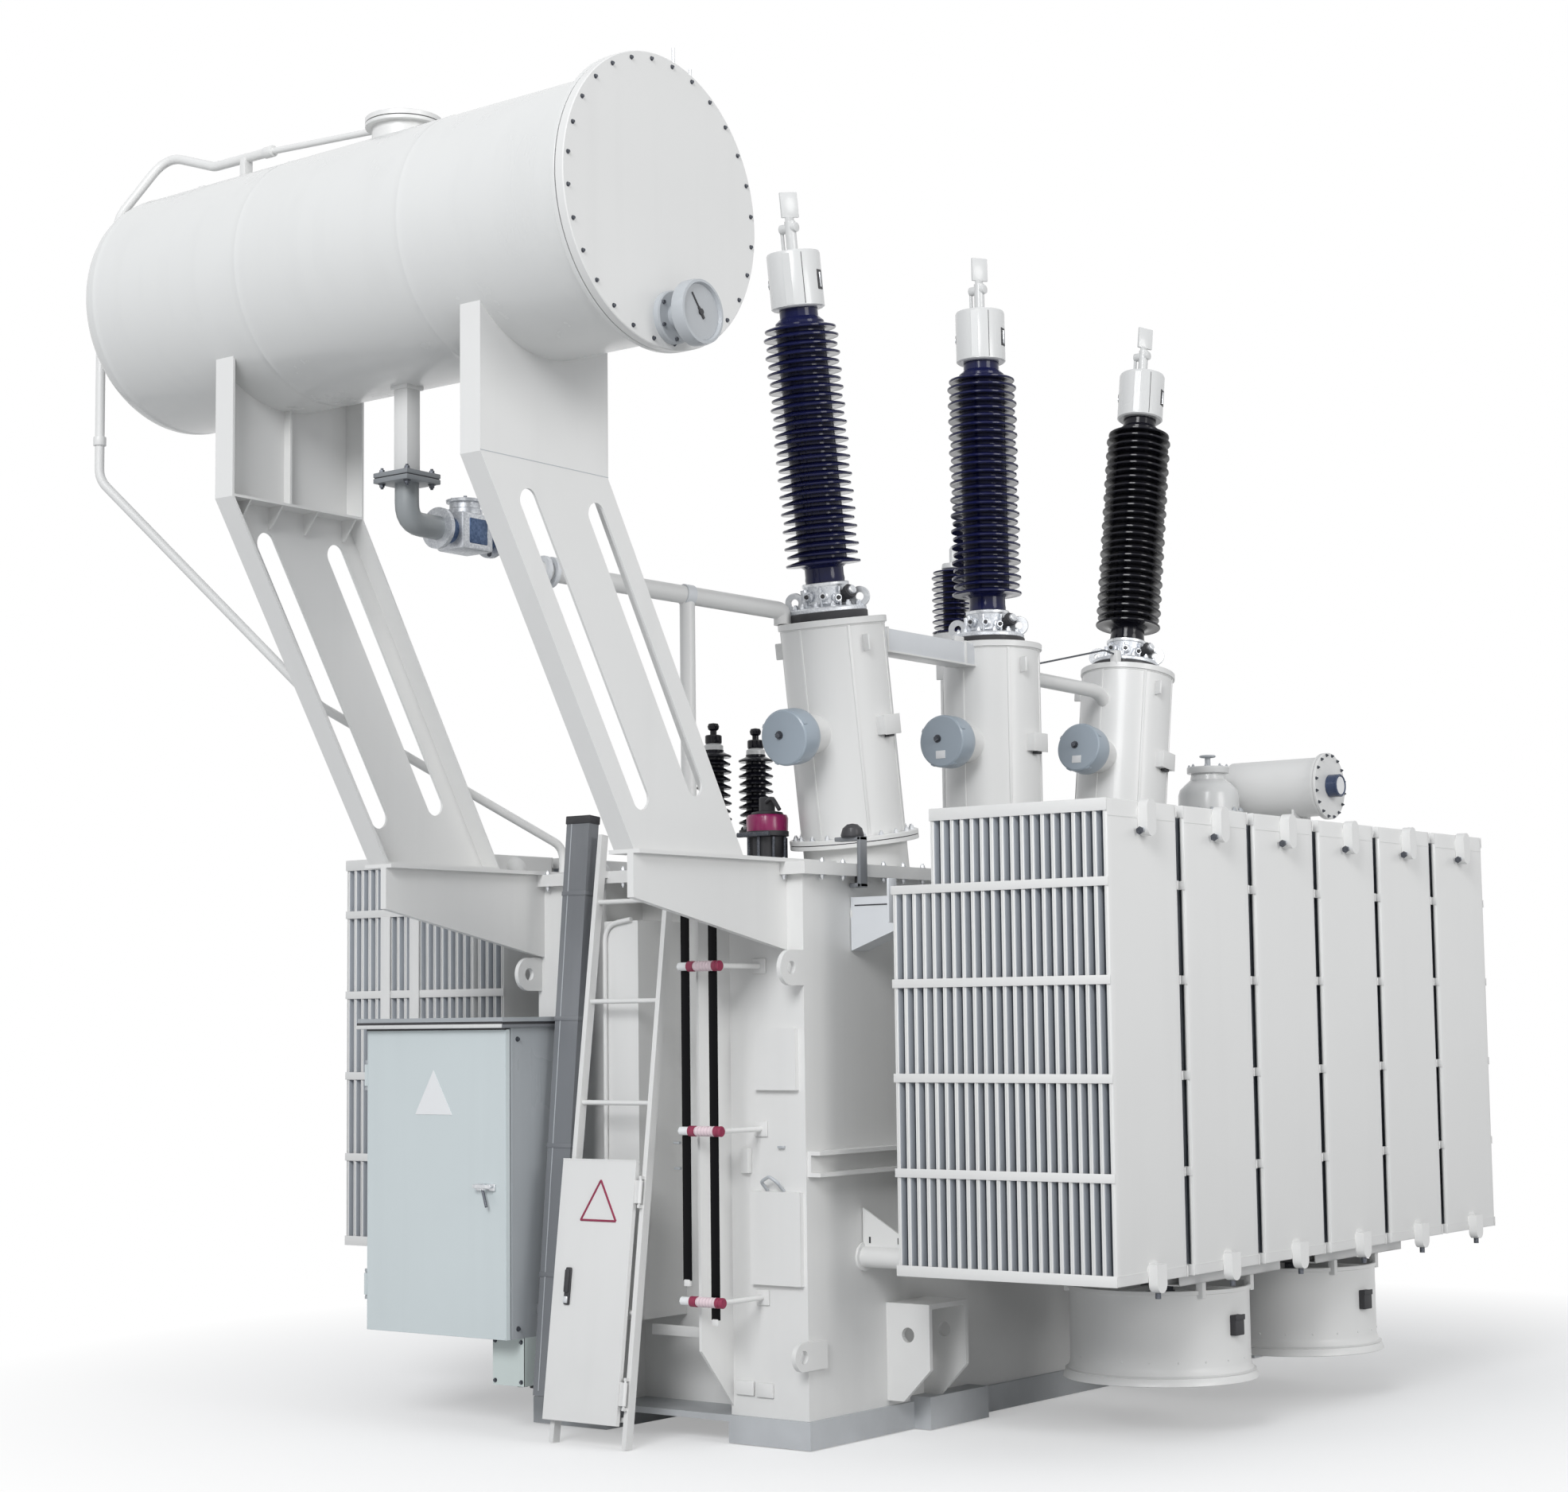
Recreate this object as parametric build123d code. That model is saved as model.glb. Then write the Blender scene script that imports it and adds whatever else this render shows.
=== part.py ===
"""Power transformer: a steel tank on skids, two banks of radiators with fans,
a raised oil conservator on two arms, three high voltage bushings that fan out,
a control cabinet with a door and a ladder with a hinged guard.

Millimetres, +Z up. The origin lies on the ground under the middle of the tank.
The end towards -Y carries the conservator, the ladder and the cabinet.
"""

import os
from math import atan2, cos, degrees, radians, sin

from build123d import *

# Tank
tank_width = 1410
tank_length = 4600
tank_bottom = 83
tank_top = 2240
wall = 12
floor_thickness = 25
floor_rim = 20
skid_width = 405
cross_width = 300
column_width = 385
recess_depth = 230
rim_overhang = 45
rim_thickness = 22
lid_thickness = 28
belt_bottom = 1050
belt_height = 100
belt_depth = 60
belt_web = 15
belt_flange = 16
pad_width = 430
pad_depth = 100
pad_height = 130
pad_start = 690

# Jacking boxes on the long walls
jack_start = 530
jack_width = 280
jack_reach = 210
jack_bottom = 130
jack_top = 500
jack_plate = 20
jack_hole = 30
jack_chamfer = 130

# Lugs, rib and box on the end wall
lug_radius = 70
lug_hole = 26
lug_reach = 150
lug_thickness = 20
lug_z = 1870
tow_lug_size = 110
tow_lug_back = 100
tow_lug_z = 360
rib_reach = 200
rib_bottom = 142
rib_knee = 374
rib_top = 2180
rib_chamfer = 50
end_box_width = 183
end_box_left = 275
end_box_reach = 70
end_box_bottom = 460
end_box_top = 2080
cover_plate_depth = 25
cover_upper = (468, 675, 1389, 1633)
cover_lower = (443, 690, 626, 991)

# Brackets and arms that carry the conservator
arm_right_x = 625
arm_left_x = -670
arm_depth = 98
arm_plate = 10
arm_foot_out = 937
arm_foot_in = 275
arm_knee_out = 1758
arm_knee_in = 1068
arm_foot_z = 2305
arm_knee_z = 3680
arm_top_z = 4400
arm_knee_share = 0.25
arm_rib_depth = 35
gusset_thickness = 30
gusset_out = 940
gusset_tip_z = 2126
gusset_root_z = 1941
shelf_width = 150
shelf_thickness = 15
shelf_end = 300
slot_width = 90
slot_shares = ((0.24, 0.14, 0.895), (0.78, 0.19, 0.895))

# Conservator
drum_radius = 481
drum_reach = 1410
drum_z = 4555
drum_left_x = -1355
drum_right_x = 1183
drum_plate = 8
dome_depth = 170
dome_knuckle = 90
drum_flange_radius = 531
drum_flange_thickness = 20
hatch_x = -103
hatch_radius = 122
hatch_rim_radius = 148
hatch_neck_z = 5085
hatch_top_z = 5120
gauge_y_offset = 36
gauge_z = 4140
gauge_stub = 90
gauge_stub_radius = 45
gauge_radius = 118
gauge_thickness = 60
breather_radius = 13
breather_hatch_z = 5108
breather_end_shares = (0.198, 0, 1.233)
downcomer_radius = 19
downcomer_bend = 70
downcomer_shares = ((0.067, 0, 1.241), (-0.049, 0, 1.455), (-0.095, -0.291, 0.925), (-0.083, -0.541, 0.301))
downcomer_knee_shares = ((-0.083, -0.541, -1.424), (0.181, 0.645, -3.337))
downcomer_foot_gap = 8
downcomer_foot_along = 240
downcomer_clip_share = 0.02
downcomer_clip = 44

# Oil and gas pipes
downpipe_size = 72
downpipe_x = -85
downpipe_top = 4120
downpipe_flange = 180
downpipe_flange_thickness = 40
downpipe_flange_z = 3700
elbow_radius = 46
elbow_bend = 120
relay_z = 3555
relay_start = 1250
relay_end = 940
relay_width = 150
relay_height = 150
relay_flange = 80
relay_flange_thickness = 18
relay_cap = 54
gas_radius = 38
gas_run = 80
gas_drop = 95
gas_bend = 42
gas_foot = 150
gas_foot_rise = 60
post_radius = 32
post_share = 0.62

# Radiators
panel_count = 22
panel_pitch = 45.6
panel_thickness = 20
panel_width = 520
panel_bottom = 675
panel_top = 2475
panel_short_top = 2160
short_panels = 4
radiator_count = 6
radiator_pitch = 581
radiator_start = 375
radiator_gap_right = 353
radiator_gap_left = 310
tie_heights = (1053, 1418, 1783, 2148)
tie_height = 34
tie_proud = 6
header_radius = 44
header_top_z = 2425
radiator_left_drop = 60
strap_places = (505, 687)
strap_width = 58
strap_thickness = 8
strap_top = 2150
header_low_z = 715
elbow_z = 2090

# Fans
fan_radius = 365
fan_wall = 6
fan_bell_radius = 395
fan_bottom = 210
fan_bell_z = 270
fan_top = 580
fan_hub_radius = 75
fan_hub_height = 180
fan_spoke = 24
fan_rail_width = 60
fan_rail_z = 615
fan_rail_share = 0.25
fan_hanger = 30

# High voltage turrets and bushings
turret_inset = 300
turret_start = 793
turret_pitch = 1080
turret_tilt = 8.6
turret_radius = 222
turret_length = 1075
turret_flange_radius = 275
turret_flange_share = 0.11
turret_flange_thickness = 40
turret_rim_radius = 232
turret_rim_thickness = 28
drum_cover_radius = 118
drum_neck_radius = 85
drum_cover_start = 305
drum_cover_reach = 425
drum_cover_share = 0.563
small_box_share = 0.57
small_box_size = (50, 110, 80)
bushing_tilts = (-8.2, -0.7, 9)
bushing_shift = 15
bushing_bite = 14
shed_count = 28
shed_radius = 160
shed_root_radius = 108
shed_start = 190
shed_end = 1270
shed_thickness = 11
bushing_foot_radius = 160
bushing_foot_height = 30
bushing_neck_radius = 118
bushing_neck_share = 0.76
bushing_cap_start = 1330
bushing_cap_end = 1565
bushing_cap_radius = 114
terminal_rod_radius = 24
terminal_rod_end = 1690
terminal_end = 1825
terminal_width = 70
terminal_plate = 22
link_share = 0.945
link_size = 100
link_pipe_share = 0.84
link_pipe_radius = 34
link_pipe_rise = 55

# Smaller fittings on the lid
neutral_x = -245
neutral_along = 2550
neutral_turret_radius = 75
neutral_turret_z = 3520
neutral_shed_radius = 110
neutral_core_radius = 55
neutral_top_z = 3990
neutral_sheds = 12
lv_x = -495
lv_start = 944
lv_pitch = 310
lv_count = 2
lv_radius = 80
lv_core_radius = 42
lv_top_z = 3005
lv_shed_z = 2560
lv_sheds = 9
relief_x = 85
relief_along = 582
relief_radius = 110
relief_neck_radius = 75
relief_height = 330
changer_x = 285
changer_along = 4130
changer_radius = 240
changer_head_radius = 165
changer_top_z = 3030
changer_wheel_radius = 60
changer_wheel_thickness = 28
changer_stem = 56
changer_stem_radius = 28
small_drum_left_x = 245
small_drum_right_x = 803
small_drum_along = 4500
small_drum_radius = 155
small_drum_z = 2850
small_dial_radius = 60
small_dial_thickness = 70
small_flange_radius = 175
small_flange_thickness = 16
small_saddle = 40
small_saddle_width = 200

# Control cabinet
cabinet_left_x = -1295
cabinet_right_x = -497
cabinet_reach = 430
cabinet_depth = 380
cabinet_bottom = 390
cabinet_top = 1640
cabinet_sheet = 3
cabinet_lip = 26
roof_overhang = 30
roof_side = 10
roof_thickness = 50
door_thickness = 24
door_gap = 6
hinge_radius = 10
hinge_pin_radius = 5
hinge_bore = 5.4
hinge_length = 90
hinge_offset = 16
hinge_gap = 6
hinge_lug = 12
hinge_shares = (0.15, 0.85)
bracket_size = 60
cable_box_width = 172
cable_box_depth = 250
cable_box_height = 196

# Ladder and guard
ladder_left_x = -285
ladder_right_x = 95
ladder_foot_out = 380
ladder_top_out = 60
ladder_top_z = 2440
rail_width = 22
rail_depth = 40
rung_radius = 10
rung_count = 6
rung_first_share = 0.045
rung_last_share = 0.885
guard_bottom_share = 0.035
guard_top_share = 0.455
guard_thickness = 20
guard_overlap = 30
guard_gap = 9
guard_hinge_shares = (0.12, 0.88)
hook_size = 28

# Cable duct beside the ladder
duct_left_x = -459
duct_right_x = -333
duct_depth = 60
duct_foot_out = 285
duct_top_out = 60
duct_foot_z = 160
duct_top_z = 2520
duct_strap_z = 480
duct_strap = 40

# Earthing bars
bar_xs = (305, 445)
bar_width = 40
bar_thickness = 8
bar_reach = 250
bar_top = 2180
bar_bottoms = (652, 506)
support_heights = (575, 1235, 1880)
support_radius = 21
support_left_x = 268
support_right_x = 508
support_arm_radius = 11
support_bite = 2

lid_top = tank_top + rim_thickness + lid_thickness
end_y = -tank_length / 2
right_x = tank_width / 2
drum_y = end_y - drum_reach
cabinet_front_y = end_y - cabinet_reach


def block(x_pair, y_pair, z_pair):
    """A plain block between pairs of planes."""
    pairs = (x_pair, y_pair, z_pair)
    sizes = [abs(pair[1] - pair[0]) for pair in pairs]
    middles = [(pair[0] + pair[1]) / 2 for pair in pairs]
    return Pos(*middles) * Box(*sizes)


def side_plate(points, start_x, thickness):
    """A flat plate that stands along the tank: its points are (y, z)."""
    outline = Plane.YZ * Polygon(*points, align=None)
    return Pos(start_x, 0, 0) * extrude(outline, amount=thickness, dir=(1, 0, 0))


def cross_plate(points, start_y, thickness):
    """A flat plate that stands across the tank: its points are (x, z)."""
    outline = Plane.XZ * Polygon(*points, align=None)
    return Pos(0, start_y, 0) * extrude(outline, amount=thickness, dir=(0, 1, 0))


def rod(start, end, radius):
    """A round bar between two points."""
    along = Vector(*end) - Vector(*start)
    place = Plane(origin=start, z_dir=along)
    return place * Cylinder(radius, along.length, align=(Align.CENTER, Align.CENTER, Align.MIN))


def pipe(points, radius, bend):
    """A round pipe through points, with rounded bends."""
    route = FilletPolyline(*points, radius=bend)
    section = Plane(origin=points[0], z_dir=Vector(*points[1]) - Vector(*points[0])) * Circle(radius)
    return sweep(section, path=route)


def turned(profile, place):
    """A body of revolution about the place's Z: its profile is (radius, height)."""
    outline = Plane.XZ * Polygon(*profile, align=None)
    return place * revolve(outline, axis=Axis.Z)


def shed_profile(count, start, end, tip, root, thickness):
    """The saw-toothed edge of a stack of sheds, from the bottom up."""
    pitch = (end - start) / count
    points = []
    for number in range(count):
        level = start + number * pitch
        points += [(root, level), (tip, level + pitch / 4), (tip, level + pitch / 4 + thickness / 2)]
        points += [(root, level + pitch / 4 + thickness)]
    return points + [(root, end)]


def mirrored(shape):
    """The same piece on the other side of the tank."""
    return shape.mirror(Plane.YZ)


# Tank


def tank_outline(inset):
    """The plan of the tank walls, moved inwards by the inset."""
    half = right_x - inset
    column = right_x - column_width + inset
    front = end_y + inset
    recess = end_y + recess_depth + inset
    back = -end_y - inset
    points = [(half, front), (column, front), (column, recess), (-column, recess)]
    points += [(-column, front), (-half, front), (-half, back), (half, back)]
    return Polygon(*points, align=None)


def build_base():
    """The floor plate, two skids with a cross member, and the pads beside them."""
    half = right_x + floor_rim
    ends = (end_y - floor_rim, floor_rim - end_y)
    body = block((-half, half), ends, (tank_bottom, tank_bottom + floor_thickness))
    skid = block((half - skid_width, half), ends, (0, tank_bottom))
    for start in (pad_start, tank_length - pad_start - pad_width):
        pad_y = (end_y + start, end_y + start + pad_width)
        skid += block((right_x, right_x + pad_depth), pad_y, (0, pad_height))
    cross_y = (-cross_width / 2, cross_width / 2)
    cross = block((skid_width - half, half - skid_width), cross_y, (0, tank_bottom))
    return body + skid + mirrored(skid) + cross


def build_walls():
    """The hollow tank with its rim, belts, lugs, end rib and cover boxes."""
    bottom = tank_bottom + floor_thickness
    height = tank_top - bottom
    up = (0, 0, 1)
    shell = extrude(tank_outline(0), amount=height, dir=up)
    shell -= extrude(tank_outline(wall), amount=height, dir=up)
    shell = Pos(0, 0, bottom) * shell
    half = right_x + rim_overhang
    front = end_y - rim_overhang
    opening = right_x - wall
    rim = block((-half, half), (front, -front), (tank_top, tank_top + rim_thickness))
    inner_front = end_y + recess_depth + wall
    rim -= block((-opening, opening), (inner_front, -end_y - wall), (tank_top, tank_top + rim_thickness))
    belt_y = (end_y + wall, -end_y - wall)
    belt_top = belt_bottom + belt_height
    belt = block((right_x, right_x + belt_depth), belt_y, (belt_bottom, belt_top))
    channel_z = (belt_bottom + belt_flange, belt_top - belt_flange)
    belt -= block((right_x + belt_web, right_x + belt_depth), belt_y, channel_z)
    belt += build_lug()
    walls = shell + rim + belt + mirrored(belt) + build_tow_lug() + build_rib()
    for edges in (cover_upper, cover_lower):
        walls += build_cover_plate(edges)
    return walls


def build_lug():
    """The holed lug that stands out of the end wall at its corner."""
    start_x = right_x - lug_thickness
    eye_y = end_y - lug_reach + lug_radius
    body = rod((start_x, eye_y, lug_z), (right_x, eye_y, lug_z), lug_radius)
    body += block((start_x, right_x), (eye_y, end_y), (lug_z - lug_radius, lug_z + lug_radius))
    return body - rod((start_x, eye_y, lug_z), (right_x, eye_y, lug_z), lug_hole)


def build_tow_lug():
    """The holed plate low on the side wall, for pulling the tank along."""
    side_x = (right_x, right_x + lug_thickness)
    eye_y = end_y - tow_lug_size / 2
    half = tow_lug_size / 2
    body = block(side_x, (eye_y, end_y + tow_lug_back), (tow_lug_z - half, tow_lug_z + half))
    body += rod((right_x, eye_y, tow_lug_z), (side_x[1], eye_y, tow_lug_z), half)
    return body - rod((right_x, eye_y, tow_lug_z), (side_x[1], eye_y, tow_lug_z), lug_hole)


def build_rib():
    """The tall rib on the end wall, with a sloped foot."""
    outer = end_y - rib_reach
    points = [(end_y, rib_bottom), (outer, rib_knee), (outer, rib_top - rib_chamfer)]
    points += [(outer + rib_chamfer, rib_top), (end_y, rib_top)]
    return side_plate(points, right_x - column_width, wall)


def build_end_box():
    """The closed box that stiffens the middle of the end wall."""
    body_x = (-end_box_left, end_box_width - end_box_left)
    body_y = (end_y - end_box_reach, end_y + recess_depth)
    return block(body_x, body_y, (end_box_bottom, end_box_top))


def build_cover_plate(edges):
    """A shallow cover box on the end wall."""
    left, right, low, high = edges
    return block((left, right), (end_y - cover_plate_depth, end_y), (low, high))


def build_lid():
    """The flat lid that is bolted to the rim."""
    half = right_x + rim_overhang
    front = end_y - rim_overhang
    return block((-half, half), (front, -front), (tank_top + rim_thickness, lid_top))


def build_jack_box():
    """A box of two holed plates under a top plate, for a jack."""
    first = end_y + jack_start
    outer = right_x + jack_reach
    points = [(right_x, jack_bottom), (outer - jack_chamfer, jack_bottom)]
    points += [(outer, jack_bottom + jack_chamfer), (outer, jack_top), (right_x, jack_top)]
    hole_x = right_x + jack_reach / 2
    hole_z = jack_top - jack_reach / 2
    body = None
    for start in (first, first + jack_width - jack_plate):
        plate = cross_plate(points, start, jack_plate)
        plate -= rod((hole_x, start, hole_z), (hole_x, start + jack_plate, hole_z), jack_hole)
        body = plate if body is None else body + plate
    return body + block((right_x, outer), (first, first + jack_width), (jack_top, jack_top + jack_plate))


# Conservator and what carries it


def build_bracket(face_x):
    """The gusset and shelf under one arm."""
    points = [(end_y - gusset_out, lid_top), (end_y - gusset_out, gusset_tip_z)]
    points += [(end_y, gusset_root_z), (end_y, tank_top), (end_y - rim_overhang, tank_top)]
    points += [(end_y - rim_overhang, lid_top)]
    body = side_plate(points, face_x - gusset_thickness, gusset_thickness)
    shelf_x = (face_x + gusset_thickness - shelf_width, face_x + gusset_thickness)
    shelf_y = (end_y - gusset_out, end_y + shelf_end)
    return body + block(shelf_x, shelf_y, (lid_top, lid_top + shelf_thickness))


def arm_outline():
    """The side view of one arm, foot to saddle, as (y, z) points."""
    foot = [(end_y - arm_foot_in, arm_foot_z), (end_y - arm_foot_out, arm_foot_z)]
    outer = [(end_y - arm_knee_out, arm_knee_z), (end_y - arm_knee_out, arm_top_z)]
    inner = [(end_y - arm_knee_in, arm_top_z), (end_y - arm_knee_in, arm_knee_z)]
    return foot + outer + inner


def arm_slot(across, low, high, start_x):
    """A long round-ended slot that runs up the leaning part of an arm."""
    points = []
    for share in (low, high):
        level = arm_foot_z + share * (arm_knee_z - arm_foot_z)
        outer = arm_foot_out + share * (arm_knee_out - arm_foot_out)
        inner = arm_foot_in + share * (arm_knee_in - arm_foot_in)
        points.append((end_y - outer - across * (inner - outer), level))
    centre = Vector((points[0][0] + points[1][0]) / 2, (points[0][1] + points[1][1]) / 2)
    along = Vector(*points[1]) - Vector(*points[0])
    tilt = degrees(atan2(along.Y, along.X))
    slot = Pos(centre.X, centre.Y) * Rot(0, 0, tilt) * SlotCenterToCenter(along.length, slot_width)
    return Pos(start_x, 0, 0) * extrude(Plane.YZ * slot, amount=arm_depth, dir=(1, 0, 0))


def build_arm(face_x):
    """A channel arm: a slotted side plate with flanges along its two edges."""
    back_x = face_x - arm_depth
    points = arm_outline()
    body = side_plate(points, back_x, arm_depth)
    edge = arm_plate / cos(atan2(arm_knee_out - arm_foot_out, arm_knee_z - arm_foot_z))
    knee = edge * arm_knee_share
    inner_points = [(points[0][0] - edge, points[0][1] + arm_plate)]
    inner_points += [(points[1][0] + edge, points[1][1] + arm_plate)]
    inner_points += [(points[2][0] + arm_plate, points[2][1] + knee)]
    inner_points += [(points[3][0] + arm_plate, points[3][1])]
    inner_points += [(points[4][0] - arm_plate, points[4][1])]
    inner_points += [(points[5][0] - arm_plate, points[5][1] + knee)]
    body -= side_plate(inner_points, back_x, arm_depth - arm_plate)
    for across, low, high in slot_shares:
        body -= arm_slot(across, low, high, face_x - arm_plate * 2)
    seam_y = (end_y - arm_knee_out, end_y - arm_knee_in)
    body += block((back_x, face_x), seam_y, (arm_knee_z, arm_knee_z + arm_plate))
    rib_x = (face_x - arm_plate - arm_rib_depth, face_x - arm_plate)
    rib_y = (drum_y - arm_plate / 2, drum_y + arm_plate / 2)
    body += block(rib_x, rib_y, (arm_knee_z, arm_top_z))
    cradle = rod((back_x - wall, drum_y, drum_z), (face_x + wall, drum_y, drum_z), drum_radius)
    return body - cradle


def drum_solid(inset, right_end):
    """A drum along X with a dished left end, moved inwards by the inset."""
    radius = drum_radius - inset
    knuckle = dome_knuckle - inset
    depth = dome_depth - inset
    side = radius - knuckle
    crown = (side ** 2 - knuckle ** 2 + depth ** 2) / (2 * (depth - knuckle))
    crown_x = drum_left_x - depth + crown
    turn = atan2(side, drum_left_x - crown_x)
    apex = (crown_x - crown, 0)
    meet = (crown_x + crown * cos(turn), crown * sin(turn))
    half_turn = (turn + radians(180)) / 2
    crown_middle = (crown_x + crown * cos(half_turn), crown * sin(half_turn))
    knuckle_turn = (turn + radians(90)) / 2
    knuckle_middle = (drum_left_x + knuckle * cos(knuckle_turn), side + knuckle * sin(knuckle_turn))
    start = (drum_left_x, radius)
    outline = ThreePointArc(start, knuckle_middle, meet) + ThreePointArc(meet, crown_middle, apex)
    outline += Polyline(apex, (right_end, 0), (right_end, radius), start)
    return Pos(0, drum_y, drum_z) * revolve(make_face(outline), axis=Axis.X)


def build_drum():
    """The hollow conservator with its end flange."""
    seat = drum_right_x - drum_flange_thickness
    body = drum_solid(0, seat)
    flange_start = (seat - drum_flange_thickness, drum_y, drum_z)
    body += rod(flange_start, (seat, drum_y, drum_z), drum_flange_radius)
    return body - drum_solid(drum_plate, seat)


def build_drum_cover():
    """The flat bolted end of the conservator."""
    seat = (drum_right_x - drum_flange_thickness, drum_y, drum_z)
    return rod(seat, (drum_right_x, drum_y, drum_z), drum_flange_radius)


def build_hatch():
    """The round hatch on top of the conservator."""
    place = Plane(origin=(hatch_x, drum_y, drum_z))
    neck = hatch_neck_z - drum_z
    top = hatch_top_z - drum_z
    profile = [(0, 0), (hatch_radius, 0), (hatch_radius, neck), (hatch_rim_radius, neck)]
    profile += [(hatch_rim_radius, top), (0, top)]
    trim = rod((drum_left_x, drum_y, drum_z), (drum_right_x, drum_y, drum_z), drum_radius)
    return turned(profile, place) - trim


def build_gauge():
    """The round oil gauge on its stub."""
    place = Plane(origin=(drum_right_x, drum_y + gauge_y_offset, gauge_z), z_dir=(1, 0, 0))
    face = gauge_stub + gauge_thickness
    profile = [(0, 0), (gauge_stub_radius, 0), (gauge_stub_radius, gauge_stub)]
    profile += [(gauge_radius, gauge_stub), (gauge_radius, face), (0, face)]
    return turned(profile, place)


def drum_point(shares):
    """A point at a share of the drum's length, set off from its axis by shares of its radius."""
    along, across, up = shares
    x = drum_left_x + along * (drum_right_x - drum_left_x)
    return x, drum_y + across * drum_radius, drum_z + up * drum_radius


def build_breather():
    """The thin pipe over the conservator, from the hatch towards its domed end."""
    start = (hatch_x - hatch_radius / 2, drum_y, breather_hatch_z)
    return rod(start, drum_point(breather_end_shares), breather_radius) - build_hatch()


def build_downcomer():
    """The pipe that turns down in front of the domed end and runs to the bracket."""
    points = [drum_point(breather_end_shares)]
    points += [drum_point(shares) for shares in downcomer_shares + downcomer_knee_shares]
    foot_x = arm_left_x - arm_depth - downcomer_foot_gap
    foot_y = end_y + downcomer_foot_along
    shelf_top = lid_top + shelf_thickness
    points.append((foot_x, foot_y, shelf_top + downcomer_bend * 2))
    points.append((foot_x, foot_y, shelf_top))
    body = pipe(points, downcomer_radius, downcomer_bend)
    clip_place = drum_point(downcomer_shares[-1])
    clip_z = drum_z + downcomer_clip_share * drum_radius
    half = downcomer_clip / 2
    clip_y = (clip_place[1] - half, clip_place[1] + half)
    clip = block((clip_place[0] - half, drum_left_x), clip_y, (clip_z - half, clip_z + half))
    return body + (clip - drum_solid(0, drum_right_x)) - build_breather()


# Oil and gas pipes


def build_downpipe():
    """The square pipe under the conservator, its flange and the elbow below it."""
    half = downpipe_size / 2
    plate = downpipe_flange / 2
    body_x = (downpipe_x - half, downpipe_x + half)
    body = block(body_x, (drum_y - half, drum_y + half), (downpipe_flange_z, downpipe_top))
    body -= rod((drum_left_x, drum_y, drum_z), (drum_right_x, drum_y, drum_z), drum_radius)
    flange_z = (downpipe_flange_z, downpipe_flange_z + downpipe_flange_thickness)
    flange_x = (downpipe_x - plate, downpipe_x + plate)
    body += block(flange_x, (drum_y - plate, drum_y + plate), flange_z)
    relay_y = end_y - relay_start
    points = [(downpipe_x, drum_y, downpipe_flange_z), (downpipe_x, drum_y, relay_z)]
    points.append((downpipe_x, relay_y, relay_z))
    return body + pipe(points, elbow_radius, elbow_bend)


def build_relay():
    """The gas relay: a body between two round flanges, with a cap on top."""
    start = end_y - relay_start
    end = end_y - relay_end
    half = relay_width / 2
    rise = relay_height / 2
    centre = (downpipe_x, (start + end) / 2, relay_z)
    body_y = (start + relay_flange_thickness, end - relay_flange_thickness)
    body = block((downpipe_x - half, downpipe_x + half), body_y, (relay_z - rise, relay_z + rise))
    for near, far in ((start, body_y[0]), (body_y[1], end)):
        body += rod((downpipe_x, near, relay_z), (downpipe_x, far, relay_z), relay_flange)
    top = (centre[0], centre[1], relay_z + rise + relay_cap)
    return body + rod(centre, top, half)


def turret_place(number):
    """The place of a turret's foot, with Z along its tilted axis."""
    tilt = (number - 1) * turret_tilt
    x = right_x - turret_inset
    y = end_y + turret_start + number * turret_pitch
    lean = (0, sin(radians(tilt)), cos(radians(tilt)))
    return Plane(origin=(x, y, lid_top), x_dir=(1, 0, 0), z_dir=lean)


def turret_level(number, share):
    """The point on a turret's axis at a share of its length."""
    place = turret_place(number)
    return place.origin + place.z_dir * (turret_length * share)


def build_turret(number):
    """A steel turret that leans along the row, with flanges and side fittings."""
    place = turret_place(number)
    low = turret_length * turret_flange_share
    rim = turret_length - turret_rim_thickness
    profile = [(0, -turret_radius), (turret_radius, -turret_radius), (turret_radius, low)]
    profile += [(turret_flange_radius, low), (turret_flange_radius, low + turret_flange_thickness)]
    profile += [(turret_radius, low + turret_flange_thickness), (turret_radius, rim)]
    profile += [(turret_rim_radius, rim), (turret_rim_radius, turret_length), (0, turret_length)]
    body = turned(profile, place)
    level = turret_length * drum_cover_share
    cover = place * Pos(0, 0, level) * Rot(90, 0, 0)
    profile = [(0, 0), (drum_neck_radius, 0), (drum_neck_radius, drum_cover_start)]
    profile += [(drum_cover_radius, drum_cover_start), (drum_cover_radius, drum_cover_reach)]
    body += turned(profile + [(0, drum_cover_reach)], cover)
    side = turret_radius + small_box_size[0] / 2 - wall
    body += place * Pos(side, 0, turret_length * small_box_share) * Box(*small_box_size)
    below = block((-right_x, right_x), (end_y, -end_y), (tank_bottom, lid_top))
    return body - below


def bushing_place(number):
    """The foot of a bushing on its turret, with Z along its own lean."""
    top = turret_level(number, 1)
    tilt = radians(bushing_tilts[number])
    origin = (top.X - bushing_shift, top.Y, top.Z)
    return Plane(origin=origin, x_dir=(1, 0, 0), z_dir=(0, sin(tilt), cos(tilt)))


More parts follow.
